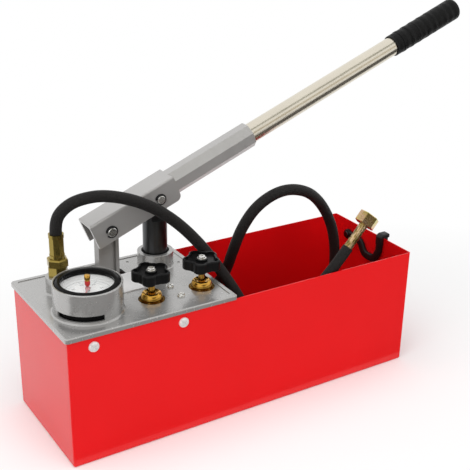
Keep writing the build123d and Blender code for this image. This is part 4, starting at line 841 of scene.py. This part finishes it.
# %% Moulded plastic and rubber
def black_moulding(name, tone, roughness, grain_scale, shine=0.30):
    """Moulded black plastic or rubber with a fine spark-eroded grain."""
    paint = Paint(name, IOR=1.5, Specular_IOR_Level=shine)
    point = paint.place()
    grain = paint.noise(point, grain_scale, detail=3)
    cloud = paint.noise(point, 40.0, detail=2)
    shade = paint.blend(cloud, (tone, tone, tone), (tone * 1.7, tone * 1.7, tone * 1.75))
    rough = paint.rough(grain, roughness - 0.06, roughness + 0.08)
    return paint.set(Base_Color=shade, Roughness=rough, Normal=paint.dents(grain, 80))


finishes["knob"] = black_moulding("knob_plastic", 0.0045, 0.32, 900.0, shine=0.16)
finishes["strap"] = black_moulding("strap_rubber", 0.005, 0.40, 500.0)
finishes["seal"] = black_moulding("seal_rubber", 0.006, 0.40, 600.0)
finishes["bezel"] = black_moulding("bezel_paint", 0.003, 0.20, 300.0, shine=0.08)
print("finishes so far", list(finishes))

# %% [markdown]
# ## Hose and grip
# A hose of this kind is cured in a wrap of cloth, which leaves its weave in the rubber. The
# sleeve on the lever has shallow rings round it and a coarse grain. Rings that cut into the
# outline would be modelled, but these hardly show there, so a wave along the lever gives them.

# %% Hose and grip rubber
BLACK = (0.003, 0.003, 0.003)
ALONG_LEVER = (0.0, math.radians(-22.0), 0.0)
RING_PITCH = 10.0 * MM
RING_SCALE = math.pi / 10 / RING_PITCH


def hose_rubber():
    """Rubber cured in a cloth wrap, which leaves its weave on the hose."""
    paint = Paint("hose_rubber", IOR=1.5, Specular_IOR_Level=0.24)
    point = paint.place()
    weave = paint.noise(point, 1000.0, detail=1)
    threads = paint.spread(weave, 0.35, 0.65)
    cloud = paint.noise(point, 30.0, detail=3)
    shade = paint.blend(threads * 0.7 + cloud * 0.3, BLACK, (0.019, 0.017, 0.016))
    rough = paint.rough(weave, 0.50, 0.66)
    return paint.set(Base_Color=shade, Roughness=rough, Normal=paint.dents(threads, 350))


def grip_rubber():
    """The sleeve on the lever: shallow rings along it and a coarse moulded grain."""
    paint = Paint("grip_rubber", IOR=1.5, Specular_IOR_Level=0.14)
    along = paint.place(turn=ALONG_LEVER)
    rings = paint.add(
        "TexWave",
        {"wave_type": "BANDS", "bands_direction": "X", "wave_profile": "SIN"},
        {"Vector": along, "Scale": RING_SCALE, "Distortion": 0.6, "Detail Scale": 60.0},
    )
    grain = paint.noise(along, 420.0, detail=3)
    shade = paint.blend(grain, BLACK, (0.008, 0.008, 0.008))
    rough = paint.rough(grain, 0.34, 0.56)
    skin = paint.dents(grain, 400, below=paint.dents(rings, 600))
    return paint.set(Base_Color=shade, Roughness=rough, Normal=skin)


finishes["hose"] = hose_rubber()
finishes["grip"] = grip_rubber()
print("finishes so far", list(finishes))

# %% [markdown]
# ## Bare and plated metals
# Metals reflect, so their look comes from roughness and from the fine marks of how they were
# made: rings on what was turned, long streaks on what was ground or drawn. A stretch of the
# noise below 1 along one axis draws its marks out along it, and one above 1 packs them into rings.

# %% Bare and plated metals
ALONG_X, ALONG_Z, ROUND_Z = (0.02, 1, 1), (1, 1, 0.03), (1, 1, 6)


def metal(name, tone, roughness, streak=(1, 1, 1), turn=(0, 0, 0), spread=0.08):
    """A metal with fine marks."""
    paint = Paint(name, Metallic=1.0)
    marks = paint.noise(paint.place(stretch=streak, turn=turn), 1500.0, detail=3)
    cloud = paint.noise(paint.place(), 35.0, detail=3)
    shade = paint.blend(cloud, dimmed(tone, 0.86), tone)
    rough = paint.rough(marks, roughness - spread / 2, roughness + spread / 2)
    return paint.set(Base_Color=shade, Roughness=rough, Normal=paint.dents(marks, 20))


finishes["zinc"] = metal("bright_zinc", (0.90, 0.89, 0.86), 0.24)
finishes["clip"] = metal("dark_spring_steel", (0.06, 0.06, 0.065), 0.35)
finishes["plunger"] = metal("ground_plunger", (0.09, 0.092, 0.095), 0.34, streak=ALONG_Z)
finishes["tube"] = metal(
    "bright_tube", (0.80, 0.745, 0.63), 0.24, streak=ALONG_X, turn=ALONG_LEVER, spread=0.10
)
finishes["brass"] = metal("turned_brass", (0.68, 0.38, 0.07), 0.20, streak=ROUND_Z)
finishes["olive"] = metal("olive_brass", (0.36, 0.27, 0.07), 0.22, streak=ROUND_Z)
print("finishes so far", list(finishes))

# %% [markdown]
# ## Yellow zinc
# Steel fittings get a yellow coat of zinc, whose film shifts from straw to pink and green with
# its thickness. A ramp of four colours over a noise gives that. The tail is crimped after
# plating, so its film is broken into small darker flats, drawn out along the fitting.

# %% Yellow zinc on the nut and the tail
ALONG_TAIL = (0.0, math.radians(41.0), 0.0)
FILM_COLORS = [
    (0.30, (0.50, 0.50, 0.10)),
    (0.45, (0.76, 0.60, 0.24)),
    (0.58, (0.85, 0.60, 0.42)),
    (0.72, (0.80, 0.74, 0.50)),
]
CRIMPED_COLORS = [
    (0.34, (0.16, 0.13, 0.03)),
    (0.46, (0.42, 0.30, 0.11)),
    (0.56, (0.72, 0.50, 0.30)),
    (0.70, (0.74, 0.62, 0.34)),
]


def yellow_zinc():
    """Passivated zinc: a thin film that shifts from straw to pink and green."""
    paint = Paint("yellow_zinc", Metallic=1.0)
    point = paint.place()
    film = paint.noise(point, 60.0, detail=2)
    marks = paint.noise(point, 1200.0, detail=2)
    shade = paint.add("ValToRGB", {"stops": FILM_COLORS}, {"Fac": film})
    rough = paint.rough(marks, 0.16, 0.26)
    return paint.set(Base_Color=shade, Roughness=rough, Normal=paint.dents(marks, 10))


def crimped_zinc():
    """Passivated zinc after crimping: the same film, broken by small flats and scratches."""
    paint = Paint("crimped_zinc", Metallic=1.0)
    along = paint.place(stretch=(1, 1, 0.35), turn=ALONG_TAIL)
    film = paint.noise(along, 260.0, detail=3)
    marks = paint.noise(along, 700.0, detail=3, roughness=0.7)
    shade = paint.add("ValToRGB", {"stops": CRIMPED_COLORS}, {"Fac": film})
    rough = paint.rough(marks, 0.20, 0.34)
    return paint.set(Base_Color=shade, Roughness=rough, Normal=paint.dents(marks, 150))


finishes["yellow_zinc"] = yellow_zinc()
finishes["crimped_zinc"] = crimped_zinc()
print("finishes so far", list(finishes))

# %% [markdown]
# ## Smooth coats and the pane
# The dial, its ink, the red pointer, the label and the small front screws are smooth, so one
# plain finish serves them all. The pane is a mix of nothing and a clear shader, more of the
# shader towards the edge, because real refraction needs many more rays for the same picture.

# %% Smooth coats and clear pane
def plain_finish(name, tone, roughness, grain=300.0, **constants):
    """A smooth coat with a little unevenness."""
    paint = Paint(name, **constants)
    cloud = paint.noise(paint.place(), grain, detail=2)
    shade = paint.blend(cloud, dimmed(tone, 0.95), tone)
    rough = paint.rough(cloud, roughness, roughness + 0.05)
    return paint.set(Base_Color=shade, Roughness=rough)


def clear_window():
    """A clear pane: it lets the dial show and keeps a soft reflection."""
    paint = Paint("clear_window", Roughness=0.03, IOR=1.45, Base_Color=color(0.95, 0.97, 0.97))
    nothing = paint.add("BsdfTransparent")
    edge = paint.add("LayerWeight", None, {"Blend": 0.12}, output="Facing")
    paint.show(paint.spread(edge, 0.0, 1.0, 0.10, 0.55), nothing, paint.shading)
    return paint.material


finishes["pale_zinc"] = plain_finish(
    "pale_zinc", (0.88, 0.86, 0.85), 0.30, grain=60.0, Metallic=0.35
)
finishes["dial"] = plain_finish("dial_enamel", (0.93, 0.93, 0.92), 0.45)
finishes["ink"] = plain_finish("dial_ink", (0.09, 0.09, 0.095), 0.5)
finishes["marker"] = plain_finish("marker_red", (0.55, 0.02, 0.02), 0.35)
finishes["label"] = plain_finish(
    "label_film", (0.95, 0.94, 0.935), 0.60, Specular_IOR_Level=0.2
)
finishes["window"] = clear_window()
print("finishes so far", list(finishes))

# %% [markdown]
# ## Which piece has which finish
# Every piece now gets its finish by name. A real piece is of one material, so a table is enough,
# and it shows at a glance what is brass and what is steel. The pieces made above stand for
# solid ones that no longer show, so those are left out.

# %% Finish of each piece
node_finish = {
    "enamel": ["tank"],
    "cover": ["cover_casting"],
    "lever": ["lever_head"],
    "link": ["fulcrum_link"],
    "knob": ["shutoff_knob", "relief_knob"],
    "grip": ["lever_grip"],
    "seal": ["piston_seal", "piston_wiper"],
    "bezel": ["gauge_case", "gauge_needle"],
    "zinc": [
        "plate_screws", "link_base_pin", "pivot_pin", "piston_pin",
        "shutoff_knob_screw", "shutoff_knob_washer", "relief_knob_screw", "relief_knob_washer",
        "suction_ball", "delivery_ball", "suction_strainer",
    ],
    "pale_zinc": ["cover_screws"],
    "clip": ["pivot_pin_clips", "piston_pin_clips", "strap_rivet"],
    "plunger": ["piston"],
    "tube": ["lever_tube"],
    "brass": [
        "gauge_connector", "bourdon_tube", "gauge_movement", "pump_barrel", "guide_bush",
        "manifold", "gallery_plug", "delivery_plug", "suction_valve_body", "suction_ball_stop",
        "shutoff_spindle", "relief_spindle",
    ],
    "olive": ["outlet_adapter", "outlet_union_nut", "hose_ferrule_outlet"],
    "yellow_zinc": ["end_nut"],
    "crimped_zinc": ["hose_tail"],
    "dial": ["gauge_dial"],
    "marker": ["set_pointer"],
    "window": ["gauge_window"],
}
added_finish = {
    "hose": [test_hose],
    "brass": [*glands, pointer_grip],
    "bezel": [bezel_ring],
    "marker": [pointer_collar],
    "ink": [dial_print],
    "label": [label],
    "dial": [spacer],
    "strap": [strap],
    "yellow_zinc": [ridge],
}
stood_for = {
    "hose", "lever_strap", "gauge_bezel", "shutoff_bonnet", "relief_bonnet", "set_pointer_knob",
}
print("solid pieces in the table", sum(len(nodes) for nodes in node_finish.values()))

# %% [markdown]
# A solid piece comes with a slot for its material and a new one has none, so both are handled
# alike here: each slot gets the piece's finish. The last line names any piece that was missed.

# %% Put the finishes on
def finish(piece, name):
    """Puts one finish on every slot of a piece."""
    slots = piece.data.materials
    if len(slots) == 0:
        slots.append(finishes[name])
    for index in range(len(slots)):
        slots[index] = finishes[name]


for name, nodes in node_finish.items():
    for node in nodes:
        finish(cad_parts[node], name)
for name, added in added_finish.items():
    for piece in added:
        finish(piece, name)
finished = {node for nodes in node_finish.values() for node in nodes}
print("solid pieces without a finish", sorted(set(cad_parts) - finished - stood_for))

# %% [markdown]
# ## The floor
# A photographer's table is white and runs out of sight. Near the pump it takes a soft shadow, so
# it is a real floor there. Further out it would turn grey, so it fades in an oval to a white
# glow that only direct rays see. A larger lamp would whiten it too, but would wash out the pump.

# %% Floor that fades to white
FLOOR_SIZE = 12.0
FLOOR_OVAL = (0.6, 1, 1)
FADE_START, FADE_END = 0.13, 0.46

start_clean()
bpy.ops.mesh.primitive_plane_add(size=FLOOR_SIZE, location=(0, 0, 0))
floor = settle(bpy.context.object, "floor")
floor_paint = Paint("floor_white", Roughness=0.9, Specular_IOR_Level=0.0)
floor_cloud = floor_paint.noise(floor_paint.place(), 3.0)
floor_paint.set(
    Base_Color=floor_paint.blend(floor_cloud, (0.965, 0.965, 0.965), (0.985, 0.985, 0.985))
)
oval = floor_paint.place(stretch=FLOOR_OVAL)
distance = floor_paint.add("VectorMath", {"operation": "LENGTH"}, {0: oval}, output="Value")
far = floor_paint.spread(distance, FADE_START, FADE_END)
glow = floor_paint.add("Emission", None, {"Color": color(1, 1, 1), "Strength": 1.0})
floor_paint.show(far * floor_paint.seen_directly(), floor_paint.shading, glow)
floor.data.materials.append(floor_paint.material)
print("floor nodes", len(floor_paint.tree.nodes))

# %% [markdown]
# ## What the shiny pieces mirror
# A glossy red wall mirrors whatever is in front of it. In the photograph that seems to be a dim
# room, so a dark cloth lies there for the reflections alone: no camera ray, shadow or soft light
# meets it. Painting the wall darker would be wrong where it faces the light.

# %% Dark cloth for the reflections
CLOTH_PLACE = (0.35, -1.355, 0.002)
CLOTH_SIZE = (4.2, 2.53)


def mirrored_sheet(name, centre, size, rotation=(0, 0, 0)):
    """A flat sheet that only reflections and clear rays can see."""
    start_clean()
    bpy.ops.mesh.primitive_plane_add(size=1.0, location=centre, rotation=rotation)
    sheet = bpy.context.object
    sheet.scale = (*size, 1.0)
    settle(sheet, name)
    sheet.visible_camera = sheet.visible_diffuse = sheet.visible_shadow = False
    return sheet


cloth = mirrored_sheet("dark_cloth", CLOTH_PLACE, CLOTH_SIZE)
cloth_paint = Paint("cloth_grey", Base_Color=color(0.10, 0.095, 0.09), Roughness=0.9)
cloth.data.materials.append(cloth_paint.material)
print("cloth", CLOTH_SIZE, "at", CLOTH_PLACE)

# %% [markdown]
# Bright metal shows only what it mirrors. The tube in the photograph has a fine dark line along
# its top and a cream band below, and one flat of the swivel nut is nearly dark. Three cards out
# of the camera's sight give those bands, as a photographer's cards would. They glow a little by
# themselves, so their tone doesn't hang on the lamps, and are met by glossy rays alone.

# %% Cards for the metal's reflections
UPRIGHT = (math.pi / 2, 0, 0)


def card(name, centre, size, tone, rotation=(0, 0, 0)):
    """A flat card of one tone that only reflections can see."""
    sheet = mirrored_sheet(name, centre, size, rotation)
    paint = Paint(
        name, Base_Color=color(0, 0, 0), Roughness=1.0, Specular_IOR_Level=0.0,
        Emission_Color=color(*tone), Emission_Strength=1.0,
    )
    sheet.data.materials.append(paint.material)
    sheet.visible_transmission = False
    print(name, "at", centre)


card("line_card", (0.1, -0.75, 1.6), (3.0, 0.45), (0.34, 0.34, 0.29))
card("cream_card", (0.3, -2.5, 1.25), (4.0, 0.9), (0.62, 0.57, 0.47), rotation=UPRIGHT)
card("dark_card", (-0.12, -2.4, 0.82), (1.7, 0.9), (0.09, 0.075, 0.04), rotation=UPRIGHT)

# %% [markdown]
# ## Light
# The background is white because the world is white where the camera, glossy and clear rays
# meet it, and not because more light falls on the pump: as a light the world is less than half
# as bright. One wide lamp from above, one from the left and one from the front do the rest. The
# lamps aren't mirrored, as their square shapes would show in the paint.

# %% World and lamps
WORLD_LIGHT = 0.46

world = bpy.data.worlds.new("studio")
bpy.context.scene.world = world
world.use_nodes = True
sky = Nodes(world.node_tree, "World Output")
dim_sky = sky.add("Background", None, {"Color": color(1, 1, 1), "Strength": WORLD_LIGHT})
white_sky = sky.add("Background", None, {"Color": color(1, 1, 1), "Strength": 1.0})
sky.show(sky.seen_directly(), dim_sky, white_sky)


def soft_box(name, place, target, size, power):
    """A large lamp aimed at a point, its power in watts."""
    data = bpy.data.lights.new(name, "AREA")
    data.shape = "RECTANGLE"
    data.size, data.size_y = size
    data.energy = power
    lamp = bpy.data.objects.new(name, data)
    lamp.visible_glossy = False
    bpy.context.scene.collection.objects.link(lamp)
    aim = (Vector(target) - Vector(place)).to_track_quat("-Z", "Y").to_matrix().to_4x4()
    lamp.matrix_world = Matrix.Translation(place) @ aim
    print(name, power, "W")


soft_box("top_light", (-0.4, -0.3, 1.9), (0, 0, 0.1), (2.4, 2.0), 26)
soft_box("left_light", (-1.8, -0.9, 0.9), (0, 0, 0.15), (1.0, 1.2), 7)
soft_box("front_light", (0.3, -2.0, 0.8), (0.05, 0, 0.15), (1.4, 1.0), 9)
bpy.context.scene.view_settings.view_transform = "Standard"
